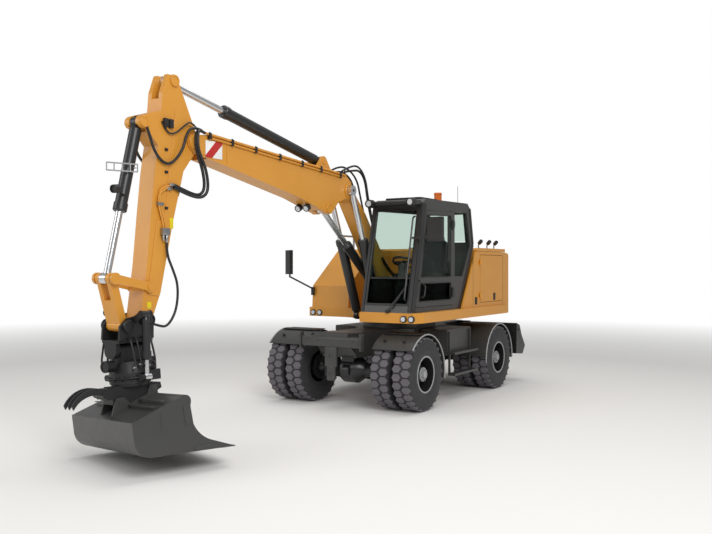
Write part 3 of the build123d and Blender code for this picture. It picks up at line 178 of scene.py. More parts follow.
# laminated safety glass: the panes above the waist rail are clear with a green cast,
# those below are tinted dark
def glass():
    material, tree, shader, coords = startMaterial("tintedGlass")
    parts = addNode(tree, "ShaderNodeSeparateXYZ", {"Vector": coords})
    above = addNode(tree, "ShaderNodeMath", {0: parts.outputs["Z"], 1: waistRail}, operation="GREATER_THAN")
    tint = addNode(
        tree,
        "ShaderNodeMix",
        {"Factor": above.outputs["Value"], 6: linear("5C6A64"), 7: linear("DDE8E2")},
        data_type="RGBA",
    )
    tree.links.new(tint.outputs[2], shader.inputs["Base Color"])
    shader.inputs["Roughness"].default_value = 0.0
    shader.inputs["Transmission Weight"].default_value = 1.0
    shader.inputs["IOR"].default_value = 1.05
    return material


tintedGlass = glass()


hazard = {"middle": (4.76, 3.50), "long": 0.29, "high": 0.20, "thick": 0.004, "stripe": 0.07}


# retro-reflective sheet: white with one broad red diagonal, set out along the board
def hazardSheet():
    material, tree, shader, coords = startMaterial("hazardSheet")
    parts = addNode(tree, "ShaderNodeSeparateXYZ", {"Vector": coords})
    level = addNode(
        tree, "ShaderNodeMath", {0: parts.outputs["Z"], 1: parts.outputs["X"]}, operation="ADD"
    )
    middle = hazard["middle"][0] + slewX + hazard["middle"][1]
    offset = addNode(tree, "ShaderNodeMath", {0: level.outputs["Value"], 1: middle}, operation="SUBTRACT")
    size = addNode(tree, "ShaderNodeMath", {0: offset.outputs["Value"]}, operation="ABSOLUTE")
    stripe = addNode(
        tree, "ShaderNodeMath", {0: size.outputs["Value"], 1: hazard["stripe"]}, operation="LESS_THAN"
    )
    colour = addNode(
        tree,
        "ShaderNodeMix",
        {"Factor": stripe.outputs["Value"], 6: linear("F2F2F0"), 7: linear("BF2A2A")},
        data_type="RGBA",
    )
    tree.links.new(colour.outputs[2], shader.inputs["Base Color"])
    shader.inputs["Roughness"].default_value = 0.35
    return material


hazardPaint = hazardSheet()

finishes = {
    "yellow_paint": orangeEnamel,
    "grey_paint": greyEnamel,
    "black_paint": blackEnamel,
    "cast_black": castBlack,
    "tyre": tyreRubber,
    "hose": hoseRubber,
    "chrome_rod": hardChrome,
    "steel": bareSteel,
    "tinted_glass": tintedGlass,
    "black_plastic": blackPlastic,
    "lamp_lens": clearLens,
    "amber_lens": amberLens,
    "seat_fabric": seatCloth,
}
slots = {part["node"]: part["material_slot"] for part in frame["record"]["subparts"]}
for name, cadNode in nodes.items():
    cadNode.data.materials.clear()
    cadNode.data.materials.append(finishes[slots[name]])
print("materials on the frame:", len(finishes))

# the photograph's view: a level camera ahead of the machine and to its left
view = {"place": (12.032 + slewX, 6.718, 2.11), "heading": 212.21, "lens": 41.12}
bpy.ops.object.camera_add(
    location=view["place"], rotation=(math.radians(90), 0, math.radians(view["heading"] - 90))
)
camera = bpy.context.object
camera.data.lens = view["lens"]
camera.data.sensor_width = 36
camera.data.clip_end = 200
bpy.context.scene.camera = camera

# pale floor that runs back to the horizon, and a white world behind it
floor = {"half": 60.0, "colour": "F2F1EE"}
bpy.ops.mesh.primitive_plane_add(size=2 * floor["half"], location=(0, 0, 0))
ground = bpy.context.object
ground.name = "studioFloor"
groundMaterial, tree, shader, coords = startMaterial("paleFloor")
shader.inputs["Base Color"].default_value = linear(floor["colour"])
shader.inputs["Roughness"].default_value = 0.9
shader.inputs["Specular IOR Level"].default_value = 0.1
distance = addNode(tree, "ShaderNodeVectorMath", {0: coords}, operation="LENGTH")
fade = addNode(
    tree,
    "ShaderNodeMapRange",
    {"Value": distance.outputs["Value"], "From Min": 9.0, "From Max": 22.0},
    clamp=True,
)
rays = addNode(tree, "ShaderNodeLightPath")
seen = addNode(
    tree,
    "ShaderNodeMath",
    {0: rays.outputs["Is Camera Ray"], 1: fade.outputs["Result"]},
    operation="MULTIPLY",
)
backdrop = addNode(tree, "ShaderNodeEmission", {"Color": (1, 1, 1, 1), "Strength": 1.0})
mixed = addNode(
    tree,
    "ShaderNodeMixShader",
    {0: seen.outputs["Value"], 1: shader.outputs["BSDF"], 2: backdrop.outputs["Emission"]},
)
tree.links.new(mixed.outputs["Shader"], tree.nodes["Material Output"].inputs["Surface"])
ground.data.materials.append(groundMaterial)

world = bpy.data.worlds.new("studio")
bpy.context.scene.world = world
world.use_nodes = True
tree = world.node_tree
rays = addNode(tree, "ShaderNodeLightPath")
either = addNode(
    tree,
    "ShaderNodeMath",
    {0: rays.outputs["Is Camera Ray"], 1: rays.outputs["Is Transmission Ray"]},
    operation="MAXIMUM",
)
strength = addNode(
    tree, "ShaderNodeMapRange", {"Value": either.outputs["Value"], "To Min": 0.40, "To Max": 1.0}
)
sky = tree.nodes["Background"]
sky.inputs["Color"].default_value = (1, 1, 1, 1)
tree.links.new(strength.outputs["Result"], sky.inputs["Strength"])

# soft key from the upper left of the view, weaker fill from the right
lamps = {
    "key": dict(place=(9.0, 11.0, 10.0), size=7.0, power=1150),
    "fill": dict(place=(11.0, -6.0, 6.0), size=6.0, power=260),
    "top": dict(place=(-1.0, 0.5, 11.0), size=8.0, power=420),
}
for name, lamp in lamps.items():
    bpy.ops.object.light_add(type="AREA", location=lamp["place"])
    light = bpy.context.object
    light.name = name
    light.data.size = lamp["size"]
    light.data.energy = lamp["power"]
    aim = Vector((0.5, 0, 1.5)) - Vector(lamp["place"])
    light.rotation_euler = aim.to_track_quat("-Z", "Y").to_euler()
bpy.context.scene.view_settings.view_transform = "Standard"
print("camera, floor and lights set")


screen = {
    "left": 1.08, "right": 0.37, "low": 1.56, "high": 2.96, "rubber": 0.030,
    "foot": 1.700, "floor": 1.445, "slope": 0.2229,
}


# how far forward the windscreen's outer face stands at a height
def lean(z):
    return screen["foot"] - (z - screen["floor"]) * screen["slope"]


def at(x, y, z):
    return Vector((x + slewX, y, z))


def deselectAll():
    if bpy.context.object and bpy.context.object.mode != "OBJECT":
        bpy.ops.object.mode_set(mode="OBJECT")
    bpy.ops.object.select_all(action="DESELECT")


def activate(piece):
    deselectAll()
    piece.select_set(True)
    bpy.context.view_layer.objects.active = piece


def applyPlace(piece):
    activate(piece)
    bpy.ops.object.transform_apply(location=True, rotation=True, scale=True)


# edit mode with only the faces chosen by their middle and normal selected
def pickFaces(piece, chosen):
    activate(piece)
    bpy.ops.object.mode_set(mode="EDIT")
    bpy.ops.mesh.select_mode(type="FACE")
    bpy.ops.mesh.select_all(action="DESELECT")
    mesh = bmesh.from_edit_mesh(piece.data)
    for face in mesh.faces:
        face.select_set(bool(chosen(face.calc_center_median(), face.normal)))
    bmesh.update_edit_mesh(piece.data)


def softenEdges(piece, width, steps=2, angle=35):
    activate(piece)
    bevel = piece.modifiers.new("edges", "BEVEL")
    bevel.width = width
    bevel.segments = steps
    bevel.limit_method = "ANGLE"
    bevel.angle_limit = math.radians(angle)
    bpy.ops.object.modifier_apply(modifier=bevel.name)


def slab(low, high, edge=0.004, steps=2):
    low, high = Vector(low), Vector(high)
    deselectAll()
    bpy.ops.mesh.primitive_cube_add(size=1, location=(low + high) / 2, scale=high - low)
    piece = bpy.context.object
    applyPlace(piece)
    if edge:
        softenEdges(piece, edge, steps)
    return piece


# a flat bar between two points; wide is measured along the side direction
def strut(start, end, wide, thick, side=(0, 1, 0), edge=0.003):
    start, end = Vector(start), Vector(end)
    run = (end - start).normalized()
    across = Vector(side)
    across = (across - run * across.dot(run)).normalized()
    deselectAll()
    bpy.ops.mesh.primitive_cube_add(size=1)
    piece = bpy.context.object
    piece.scale = (wide, thick, (end - start).length)
    turn = Matrix((across, run.cross(across), run)).transposed()
    piece.rotation_euler = turn.to_euler()
    piece.location = (start + end) / 2
    applyPlace(piece)
    softenEdges(piece, edge, 1)
    return piece


def bar(start, end, radius, sides=20, edge=0.002):
    start, end = Vector(start), Vector(end)
    deselectAll()
    bpy.ops.mesh.primitive_cylinder_add(vertices=sides, radius=radius, depth=(end - start).length)
    piece = bpy.context.object
    piece.rotation_euler = (end - start).to_track_quat("Z", "Y").to_euler()
    piece.location = (start + end) / 2
    applyPlace(piece)
    if edge:
        softenEdges(piece, edge, 1, 50)
    return piece


# a cup: a round housing whose front face is set in, for lamps and holes
def cup(start, end, radius, rim, depth, sides=28):
    piece = bar(start, end, radius, sides, 0.003)
    facing = (Vector(end) - Vector(start)).normalized()
    pickFaces(piece, lambda middle, normal: normal.dot(facing) > 0.99)
    bpy.ops.mesh.inset(thickness=rim, depth=0)
    bpy.ops.mesh.extrude_region_move(TRANSFORM_OT_translate={"value": -facing * depth})
    bpy.ops.object.mode_set(mode="OBJECT")
    return piece


# a bent round tube along a smooth line of control points
def tube(points, radius, order=3, sides=3):
    deselectAll()
    bpy.ops.curve.primitive_nurbs_path_add()
    piece = bpy.context.object
    piece.data.splines.clear()
    line = piece.data.splines.new("NURBS")
    line.points.add(len(points) - 1)
    for point, place in zip(line.points, points):
        point.co = (*place, 1)
    line.order_u = order
    line.use_endpoint_u = True
    piece.data.dimensions = "3D"
    piece.data.resolution_u = 8
    piece.data.bevel_depth = radius
    piece.data.bevel_resolution = sides
    piece.data.use_fill_caps = True
    activate(piece)
    bpy.ops.object.convert(target="MESH")
    return bpy.context.object


def painted(piece, finish):
    piece.data.materials.clear()
    piece.data.materials.append(finish)
    return piece


def joined(name, parts):
    deselectAll()
    for part in parts:
        part.select_set(True)
    bpy.context.view_layer.objects.active = parts[0]
    if len(parts) > 1:
        bpy.ops.object.join()
    piece = bpy.context.object
    piece.name = name
    piece.data.name = name
    return piece


def finishPiece(piece, body, finish=None, smooth=35):
    applyPlace(piece)
    if finish:
        painted(piece, finish)
    bpy.ops.object.shade_smooth_by_angle(angle=math.radians(smooth))
    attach(piece, body)
    return piece


def trim(name, parts, body, finish):
    return finishPiece(joined(name, parts), body, finish)


def duplicate(piece, turn=None):
    copy = piece.copy()
    copy.data = piece.data.copy()
    bpy.context.collection.objects.link(copy)
    if turn:
        copy.matrix_world = turn @ piece.matrix_world
        applyPlace(copy)
    return copy


# twin tyres: a carcass with two rows of interlocking blocks, modelled once round its own centre
tyre = {
    "radius": 0.54, "groove": 0.022, "width": 0.262, "spacing": 0.362, "blocks": 27, "track": 0.943,
    "sidewall": (
        (0.034, 0.014), (0.052, 0.004), (0.006, 0.002), (0.070, -0.004), (0.006, 0.003), (0.094, -0.020),
    ),
}


def tyreCarcass():
    deselectAll()
    bpy.ops.mesh.primitive_cylinder_add(
        vertices=64, radius=tyre["radius"] - tyre["groove"], depth=tyre["width"],
        rotation=(math.radians(90), 0, 0),
    )
    carcass = bpy.context.object
    applyPlace(carcass)
    for hand in (-1, 1):
        pickFaces(carcass, lambda middle, normal: normal.y * hand > 0.99)
        for thickness, depth in tyre["sidewall"]:
            bpy.ops.mesh.inset(thickness=thickness, depth=depth)
        bpy.ops.mesh.delete(type="FACE")
        bpy.ops.object.mode_set(mode="OBJECT")
    bpy.ops.object.mode_set(mode="EDIT")
    bpy.ops.mesh.select_mode(type="EDGE")
    bpy.ops.mesh.select_all(action="DESELECT")
    bpy.ops.mesh.select_non_manifold()
    bpy.ops.mesh.bridge_edge_loops()
    bpy.ops.mesh.select_all(action="SELECT")
    bpy.ops.mesh.normals_make_consistent(inside=False)
    bpy.ops.object.mode_set(mode="OBJECT")
    return painted(carcass, tyreRubber)


# one block: a hexagon whose shoulder side is pulled flat
def treadBlock(hand):
    deselectAll()
    top = tyre["radius"] - 0.003
    bpy.ops.mesh.primitive_cylinder_add(
        vertices=6, radius=0.0745, depth=0.034, location=(0, hand * 0.0745, top - 0.017)
    )
    block = bpy.context.object
    block.scale = (0.80, 1.0, 1.0)
    applyPlace(block)
    pickFaces(block, lambda middle, normal: False)
    bpy.ops.mesh.select_mode(type="VERT")
    mesh = bmesh.from_edit_mesh(block.data)
    for point in mesh.verts:
        point.select_set(point.co.y * hand > 0.14)
    bmesh.update_edit_mesh(block.data)
    bpy.ops.transform.translate(value=(0, -hand * 0.006, 0))
    bpy.ops.object.mode_set(mode="OBJECT")
    softenEdges(block, 0.004, 1)
    # the blocks' lighter grey is a painted highlight, not dust
    return painted(block, paintedHighlightTread)


def oneTyre():
    parts = [tyreCarcass()]
    step = 360 / tyre["blocks"]
    for hand in (-1, 1):
        block = treadBlock(hand)
        for count in range(tyre["blocks"]):
            angle = math.radians(step * (count + 0.25 * hand))
            parts.append(duplicate(block, Matrix.Rotation(angle, 4, "Y")))
        bpy.data.objects.remove(block)
    return joined("tyreModel", parts)


tyreModel = oneTyre()
axles = {"front": 1.45, "rear": -1.3}
corners = {
    "front_left": (axles["front"], 1), "front_right": (axles["front"], -1),
    "rear_left": (axles["rear"], 1), "rear_right": (axles["rear"], -1),
}
for corner, (x, hand) in corners.items():
    middle = at(x, hand * tyre["track"], tyre["radius"])
    pair = [
        duplicate(tyreModel, Matrix.Translation(middle + Vector((0, side * tyre["spacing"] / 2, 0))))
        for side in (-1, 1)
    ]
    twin = joined("twinTyres_" + corner, pair)
    finishPiece(twin, "wheel_" + corner, smooth=30)
    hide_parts("tyres_" + corner)
bpy.data.objects.remove(tyreModel)
print("tyres done:", tyre["blocks"] * 2, "blocks each")

# bolted hub and the thin light flange that shows inside each outer tyre
hub = {"face": 0.257, "disc": 0.104, "cap": 0.056, "bolts": 10, "boltRing": 0.083, "flange": 0.262}
deselectAll()
bpy.ops.mesh.primitive_torus_add(
    major_radius=hub["flange"], minor_radius=0.012, major_segments=64, minor_segments=8,
    location=(0, 0.314, 0), rotation=(math.radians(90), 0, 0),
)
flange = bpy.context.object
flange.scale = (1, 1, 0.55)
applyPlace(flange)
disc = cup((0, hub["face"], 0), (0, hub["face"] + 0.016, 0), hub["disc"], 0.012, 0.004, 40)
cap = cup((0, hub["face"] + 0.010, 0), (0, hub["face"] + 0.050, 0), hub["cap"], 0.010, 0.006, 32)
parts = [flange, disc, cap]
for count in range(hub["bolts"]):
    angle = 2 * math.pi * count / hub["bolts"]
    x, z = hub["boltRing"] * math.cos(angle), hub["boltRing"] * math.sin(angle)
    parts.append(bar((x, hub["face"] + 0.012, z), (x, hub["face"] + 0.032, z), 0.013, 6, 0.002))
hubModel = joined("hubModel", parts)
for corner, (x, hand) in corners.items():
    turn = Matrix.Translation(at(x, hand * tyre["track"], tyre["radius"]))
    if hand < 0:
        turn = turn @ Matrix.Rotation(math.pi, 4, "Z")
    piece = finishPiece(duplicate(hubModel, turn), "wheel_" + corner, flangeGrey)
    piece.name = "boltedHub_" + corner
bpy.data.objects.remove(hubModel)
print("hubs done")


# cab trim: windscreen surround, split bar, pillar cover with its rail, wiper and roof visor
def onScreen(y, z, out=0.0):
    return at(lean(z) + out, y, z)


def screenBar(a, b, wide, thick, out=0.004):
    side = (0, 1, 0) if abs(a[0] - b[0]) < 0.01 else (-screen["slope"], 0, 1)
    return strut(onScreen(*a, out), onScreen(*b, out), wide, thick, side)


left, right = screen["left"], screen["right"]
trim(
    "windscreenSurround",
    [
        screenBar((left, screen["low"]), (left, screen["high"]), screen["rubber"], 0.014),
        screenBar((right, screen["low"]), (right, screen["high"]), screen["rubber"], 0.014),
        screenBar((right, screen["low"]), (left, screen["low"]), screen["rubber"], 0.014),
        screenBar((right, screen["high"]), (left, screen["high"]), screen["rubber"], 0.014),
        screenBar((right, waistRail), (left, waistRail), 0.018, 0.016, -0.012),
        screenBar((1.121, 1.46), (1.121, 3.05), 0.058, 0.026, 0.008),
        screenBar((0.325, 1.46), (0.325, 3.05), 0.040, 0.020, 0.006),
        strut(
            at(lean(1.46) - 0.05, 1.155, 1.46), at(lean(3.06) - 0.05, 1.155, 3.06), 0.11, 0.014, (1, 0, 0)
        ),
    ],
    "upper", blackPlastic,
)
rail = {"y": 1.045, "low": 1.62, "high": 2.86, "out": 0.062}
trim(
    "pillarRail",
    [
        tube(
            [
                onScreen(rail["y"], rail["low"], 0.006),
                onScreen(rail["y"], rail["low"] + 0.01, rail["out"]),
                onScreen(rail["y"], rail["low"] + 0.09, rail["out"]),
                onScreen(rail["y"], rail["high"] - 0.09, rail["out"]),
                onScreen(rail["y"], rail["high"] - 0.01, rail["out"]),
                onScreen(rail["y"], rail["high"], 0.006),
            ],
            0.013,
        )
    ],
    "upper", blackEnamel,
)
trim(
    "wiper",
    [
        cup(onScreen(0.76, 1.46, 0.0), onScreen(0.76, 1.46, 0.035), 0.030, 0.006, 0.004, 20),
        strut(onScreen(0.76, 1.46, 0.032), onScreen(1.02, 1.80, 0.040), 0.020, 0.010),
        strut(onScreen(0.83, 1.50, 0.020), onScreen(1.055, 1.86, 0.024), 0.012, 0.018),
    ],
    "upper", blackPlastic,
)
visor = {"x": 1.490, "z": 3.060, "radius": 0.036}
trim(
    "roofVisor",
    [
        bar(at(visor["x"], 0.335, visor["z"]), at(visor["x"], 1.115, visor["z"]), visor["radius"], 24),
        strut(at(1.33, 0.345, 3.06), at(1.50, 0.345, 3.06), 0.07, 0.018, (0, 0, 1)),
        strut(at(1.33, 1.105, 3.06), at(1.50, 1.105, 3.06), 0.07, 0.018, (0, 0, 1)),
    ],
    "upper", blackPlastic,
)
lampShells = []
for y in (0.375, 1.075):
    lampShells.append(cup(at(1.505, y, visor["z"]), at(1.618, y, visor["z"]), 0.062, 0.008, 0.05))
for y, x in ((1.152, 1.700), (1.024, 1.702), (-1.170, 0.850), (-1.040, 0.850)):
    lampShells.append(cup(at(x - 0.02, y, 1.352), at(x + 0.02, y, 1.352), 0.050, 0.008, 0.02))
trim("lampShells", lampShells, "upper", blackPlastic)
print("cab front done")

# boom: hard pipes along both top edges with their clamps, bent at the front towards the stick's hoses
boom = {"half": 0.14, "pipe": 0.013, "clampX": (2.05, 2.55, 3.0, 3.5, 4.0, 4.45, 4.85)}


# height of the boom's top edge at a distance forward
def boomTop(x):
    if x < 1.85:
        return 3.46
    if x < 3.67:
        return 3.46 + (x - 1.85) * 0.122 / 1.82
    return 3.582 + (x - 3.67) * 0.083 / 1.19


pipes = []
clamps = []
for hand in (-1, 1):
    for row, (offY, offZ) in enumerate(((0.016, 0.006), (-0.022, 0.022), (0.016, -0.034))):
        y = hand * (boom["half"] + offY)
        start, end = 1.90 + 0.05 * row, 4.93 - 0.06 * row
        route = [at(x, y, boomTop(x) + offZ) for x in (start, 2.4, 3.0, 3.67, 4.3, end)]
        pipes.append(tube(route, boom["pipe"]))
    for x in boom["clampX"]:
        z = boomTop(x)
        low = at(x - 0.022, hand * 0.155 - 0.022, z - 0.052)
        high = at(x + 0.022, hand * 0.155 + 0.022, z + 0.026)
        clamps.append(slab(low, high, 0.006))
        clamps.append(bar(at(x, hand * 0.16, z + 0.02), at(x, hand * 0.16, z + 0.036), 0.009, 6))
trim("boomPipes", pipes, "main_boom", orangeEnamel)
trim("boomClamps", clamps, "main_boom", blackEnamel)

# boom side: weld doubler, pin bosses, hazard plate and work lamps
plates = []
for hand in (-1, 1):
    y = hand * boom["half"]
    near, far = sorted((y - hand * 0.001, y + hand * 0.007))
    plates.append(slab(at(4.52, near, 3.36), at(4.53, far, 3.62), 0.002))
    plates.append(slab(at(4.93, near, 3.42), at(5.06, far + (hand > 0) * 0.004, 3.45), 0.003))
    plates.append(cup(at(5.09, y, 3.55), at(5.09, y + hand * 0.020, 3.55), 0.085, 0.020, 0.006, 36))
    plates.append(cup(at(1.80, y, 3.25), at(1.80, y + hand * 0.022, 3.25), 0.105, 0.022, 0.006, 36))
    plates.append(cup(at(2.31, y, 2.96), at(2.31, y + hand * 0.018, 2.96), 0.075, 0.018, 0.006, 36))
trim("boomPlates", plates, "main_boom", orangeEnamel)

for hand, side in ((1, "left"), (-1, "right")):
    y = hand * (boom["half"] + 0.001)
    near, far = sorted((y, y + hand * hazard["thick"]))
    x, z = hazard["middle"]
    low = at(x - hazard["long"] / 2, near, z - hazard["high"] / 2)
    high = at(x + hazard["long"] / 2, far, z + hazard["high"] / 2)
    board = slab(low, high, 0.001)
    trim("hazardBoard_" + side, [board], "main_boom", hazardPaint)

lampsBoom = []
for hand in (-1, 1):
    lampsBoom.append(cup(at(2.74, hand * 0.07, 2.955), at(2.80, hand * 0.07, 2.925), 0.050, 0.008, 0.012))
    lampsBoom.append(strut(at(2.74, hand * 0.07, 2.955), at(2.70, hand * 0.07, 3.02), 0.03, 0.02))
trim("boomLampShells", lampsBoom, "main_boom", blackPlastic)
glasses = [
    cup(at(2.782, hand * 0.07, 2.934), at(2.796, hand * 0.07, 2.927), 0.040, 0.006, 0.002) for hand in (-1, 1)
]
trim("boomLampGlasses", glasses, "main_boom", clearLens)
print("boom done")

# stick: edge flanges, doubler plates, black cover box, hard pipes, valve block and blank tags
stick = {"half": 0.112, "pipe": 0.012}
flats = []
for hand in (-1, 1):
    y = hand * stick["half"]
    near, far = sorted((y - hand * 0.001, y + hand * 0.008))
    lower, upper = y + hand * 0.004, y + hand * 0.003
    flats.append(
        strut(at(5.565, lower, 2.62), at(5.700, lower, 1.80), 0.17, 0.010, (1, 0, 0), 0.004)
    )
    flats.append(
        strut(at(5.36, upper, 3.90), at(5.52, upper, 2.72), 0.014, 0.008, (1, 0, 0), 0.002)
    )
    for x, z, size in ((5.80, 1.54, 0.085), (5.83, 3.68, 0.062), (5.38, 4.205, 0.066)):
        flats.append(cup(at(x, y, z), at(x, y + hand * 0.020, z), size, 0.016, 0.005, 32))
trim("stickPlates", flats, "stick", orangeEnamel)
covers = [
    slab(at(5.50, 0.110, 3.66), at(5.56, 0.150, 3.76), 0.008),
    slab(at(5.42, 0.110, 3.66), at(5.48, 0.150, 3.76), 0.008),
]
for hand in (-1, 1):
    for z in (3.40, 3.15, 2.75):
        y = hand * 0.118
        covers.append(slab(at(5.49, y - 0.012, z), at(5.53, y + 0.012, z + 0.03), 0.004))
trim("stickCovers", covers, "stick", blackPlastic)
pipeRuns = []
for hand in (-1, 1):
    y = hand * (stick["half"] + 0.022)
    for shift in (0.0, 0.055):
        pipeRuns.append(
            tube(
                [
                    at(5.46 + shift, y, 3.02 - shift * 0.6),
                    at(5.60 + shift * 0.4, y, 2.99 - shift),
                    at(5.63 + shift * 0.3, y, 2.90 - shift),
                    at(5.60 + shift * 0.5, y, 2.74),
                    at(5.54 + shift * 0.6, y, 2.60),
                    at(5.54 + shift * 0.6, y, 2.53),
                ],
                stick["pipe"],
            )
        )
trim("stickPipes", pipeRuns, "stick", orangeEnamel)
valves = []
for hand in (-1, 1):
    y = hand * (stick["half"] + 0.001)
    near, far = sorted((y, y + hand * 0.060))
    valves.append(slab(at(5.50, near, 2.46), at(5.61, far, 2.54), 0.006))
    valves.append(bar(at(5.53, y + hand * 0.032, 2.38), at(5.53, y + hand * 0.032, 2.47), 0.021, 6))
    valves.append(bar(at(5.58, y + hand * 0.032, 2.40), at(5.58, y + hand * 0.032, 2.47), 0.017, 6))
    valves.append(bar(at(5.53, y + hand * 0.045, 2.50), at(5.53, y + hand * 0.080, 2.50), 0.016, 6))
    for x, z in ((5.43, 3.03), (5.47, 2.985)):
        line = y + hand * 0.022
        valves.append(bar(at(x - 0.03, line, z), at(x + 0.05, line, z - 0.006), 0.019, 6))
    valves.append(slab(at(5.575, near, 2.785), at(5.66, far - (hand > 0) * 0.02, 2.82), 0.004))
trim("stickValves", valves, "stick", bareSteel)
tags = [
    slab(at(5.40, 0.1125, 2.54), at(5.455, 0.1165, 2.66), 0.001),
    slab(at(5.73, 0.1125, 1.66), at(5.79, 0.1165, 1.73), 0.001),
]
trim("blankTags", tags, "stick", tagYellow)

# light guard and work lamp beside the bucket cylinder
guard = []
for z in (3.13, 3.21):
    guard.append(bar(at(5.90, 0.085, z), at(6.32, 0.085, z - 0.02), 0.008, 12, 0))
for x in (5.90, 6.00, 6.11, 6.22, 6.32):
    drop = (x - 5.90) / 0.42 * 0.02
    guard.append(bar(at(x, 0.085, 3.13 - drop), at(x, 0.085, 3.21 - drop), 0.007, 12, 0))
guard.append(strut(at(5.93, 0.03, 3.17), at(5.93, 0.09, 3.17), 0.03, 0.012, (1, 0, 0)))
trim("lampGuard", guard, "bucket_barrel", flangeGrey)
sideLamp = [
    cup(at(6.17, 0.09, 2.93), at(6.25, 0.10, 2.92), 0.045, 0.008, 0.014),
    strut(at(6.05, 0.06, 2.86), at(6.18, 0.09, 2.92), 0.024, 0.012, (0, 1, 0)),
]
trim("sideLamp", sideLamp, "bucket_barrel", blackPlastic)
print("stick done")


# a hydraulic hose between two bodies that one joint joins, drawn once as a bent tube; it is tied to neither
# body and does not bend as they move
def hoseLoop(name, points, radius):
    piece = joined(name, [tube([at(*place) for place in points], radius)])
    applyPlace(piece)
    painted(piece, hoseRubber)
    bpy.ops.object.shade_smooth_by_angle(angle=math.radians(40))
    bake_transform(piece)
    return piece


for hand, side in ((1, "left"), (-1, "right")):
    for count, (drop, y) in enumerate(((0.0, 0.175), (0.03, 0.205))):
        hoseLoop(
            f"stickHose_{side}{count}",
            [
                (4.93, hand * 0.156, 3.675), (5.02, hand * 0.162, 3.70), (5.10, hand * y, 3.66),
                (5.12, hand * (y + 0.02), 3.45), (5.02 - drop, hand * (y + 0.03), 3.24),
                (4.98 - drop, hand * (y + 0.03), 3.02 - drop), (5.05, hand * (y + 0.01), 2.93 - drop),
                (5.20, hand * 0.150, 2.96 - drop), (5.41, hand * 0.134, 3.03 - drop),
            ],
            0.018,
        )
    hoseLoop(
        f"bucketHose_{side}",
        [
            (4.98, hand * 0.150, 3.70), (5.10, hand * 0.165, 3.72), (5.24, hand * 0.175, 3.66),
            (5.30, hand * 0.165, 3.42), (5.50, hand * 0.145, 3.22), (5.70, hand * 0.140, 3.34),
            (5.78, hand * 0.125, 3.58), (5.80, hand * 0.118, 3.63),
        ],
        0.016,
    )
    hoseLoop(
        f"feedHose_{side}",
        [
            (5.06, hand * 0.152, 3.71), (5.16, hand * 0.160, 3.78), (5.26, hand * 0.158, 3.72),
            (5.40, hand * 0.142, 3.60), (5.52, hand * 0.132, 3.60), (5.58, hand * 0.118, 3.72),
        ],
        0.010,
    )
    hoseLoop(
        f"toolHose_{side}",
        [
            (5.53, hand * 0.144, 2.40), (5.53, hand * 0.145, 2.25), (5.46, hand * 0.160, 2.10),
            (5.38, hand * 0.175, 1.90), (5.42, hand * 0.185, 1.62), (5.56, hand * 0.185, 1.45),
            (5.68, hand * 0.175, 1.47), (5.76, hand * 0.150, 1.50),
        ],
        0.014,
    )
    hoseLoop(
        f"rearHose_{side}",
        [
            (1.92, hand * 0.150, 3.52), (1.72, hand * 0.165, 3.56), (1.50, hand * 0.150, 3.58),
            (1.30, hand * 0.120, 3.46), (1.22, hand * 0.110, 3.20), (1.14, hand * 0.110, 2.95),
            (1.05, hand * 0.104, 2.78),
        ],
        0.017,
    )
    hoseLoop(
        f"rearHoseInner_{side}",
        [
            (1.95, hand * 0.120, 3.53), (1.75, hand * 0.130, 3.62), (1.48, hand * 0.115, 3.66),
            (1.22, hand * 0.080, 3.50), (1.13, hand * 0.070, 3.22), (1.04, hand * 0.068, 2.98),
            (0.96, hand * 0.060, 2.78),
        ],
        0.015,
    )
print("hoses done")

# cab sides: black strip down the rear edge, door rubbers, handle, hatch rim, antenna and beacon foot
cabSide = {"outer": 1.151, "inner": 0.299}
strips = []
for y in (cabSide["outer"], cabSide["inner"]):
    for (xa, za), (xb, zb) in (((-0.325, 3.07), (-0.447, 2.48)), ((-0.447, 2.48), (0.100, 1.455))):
        strips.append(strut(at(xa, y, za), at(xb, y, zb), 0.060, 0.016, (1, 0, 0), 0.004))
hatch = ((0.60, 0.43), (1.17, 0.43), (1.17, 1.02), (0.60, 1.02))
for (xa, ya), (xb, yb) in zip(hatch, hatch[1:] + hatch[:1]):
    strips.append(strut(at(xa, ya, 3.150), at(xb, yb, 3.150), 0.03, 0.03, (0, 0, 1), 0.006))
trim("cabStrips", strips, "upper", blackPlastic)


# rubber seal that follows a window's outline on the door
def doorRubber(corners):
    sides = []
    for (xa, za), (xb, zb) in zip(corners, corners[1:] + corners[:1]):
        tilt = (0, 0, 1) if abs(za - zb) < abs(xa - xb) else (1, 0, 0)
        sides.append(strut(at(xa, 1.155, za), at(xb, 1.155, zb), 0.016, 0.010, tilt, 0.002))
    return sides


doorParts = doorRubber(((0.400, 1.960), (1.410, 1.960), (1.218, 2.885), (0.400, 2.915)))
doorParts += doorRubber(((0.400, 1.600), (1.475, 1.600), (1.425, 1.870), (0.400, 1.870)))
doorParts += [
    slab(at(0.335, 1.150, 2.700), at(0.405, 1.190, 2.850), 0.006),
    slab(at(0.335, 1.150, 1.640), at(0.405, 1.190, 1.790), 0.006),
    slab(at(0.485, 1.150, 2.200), at(0.515, 1.168, 2.905), 0.004),
    tube(
        [
            at(1.40, 1.150, 1.66), at(1.40, 1.200, 1.66), at(1.37, 1.200, 1.75),
            at(1.35, 1.200, 1.85), at(1.35, 1.150, 1.85),
        ],
        0.012,
    ),
]
trim("doorTrim", doorParts, "cab_door", blackPlastic)
antenna = [
    cup(at(-0.40, 0.90, 3.125), at(-0.40, 0.90, 3.16), 0.020, 0.005, 0.003, 20),
    bar(at(-0.40, 0.90, 3.15), at(-0.40, 0.90, 3.46), 0.004, 10, 0),
]
trim("antenna", antenna, "upper", blackPlastic)
beaconParts = []
for z in (3.176, 3.30):
    beaconParts.append(bar(at(-0.06, 0.70, z), at(-0.06, 0.70, z + 0.014), 0.068, 32, 0.003))
trim("beaconRings", beaconParts, "upper", amberLens)
print("cab sides done")

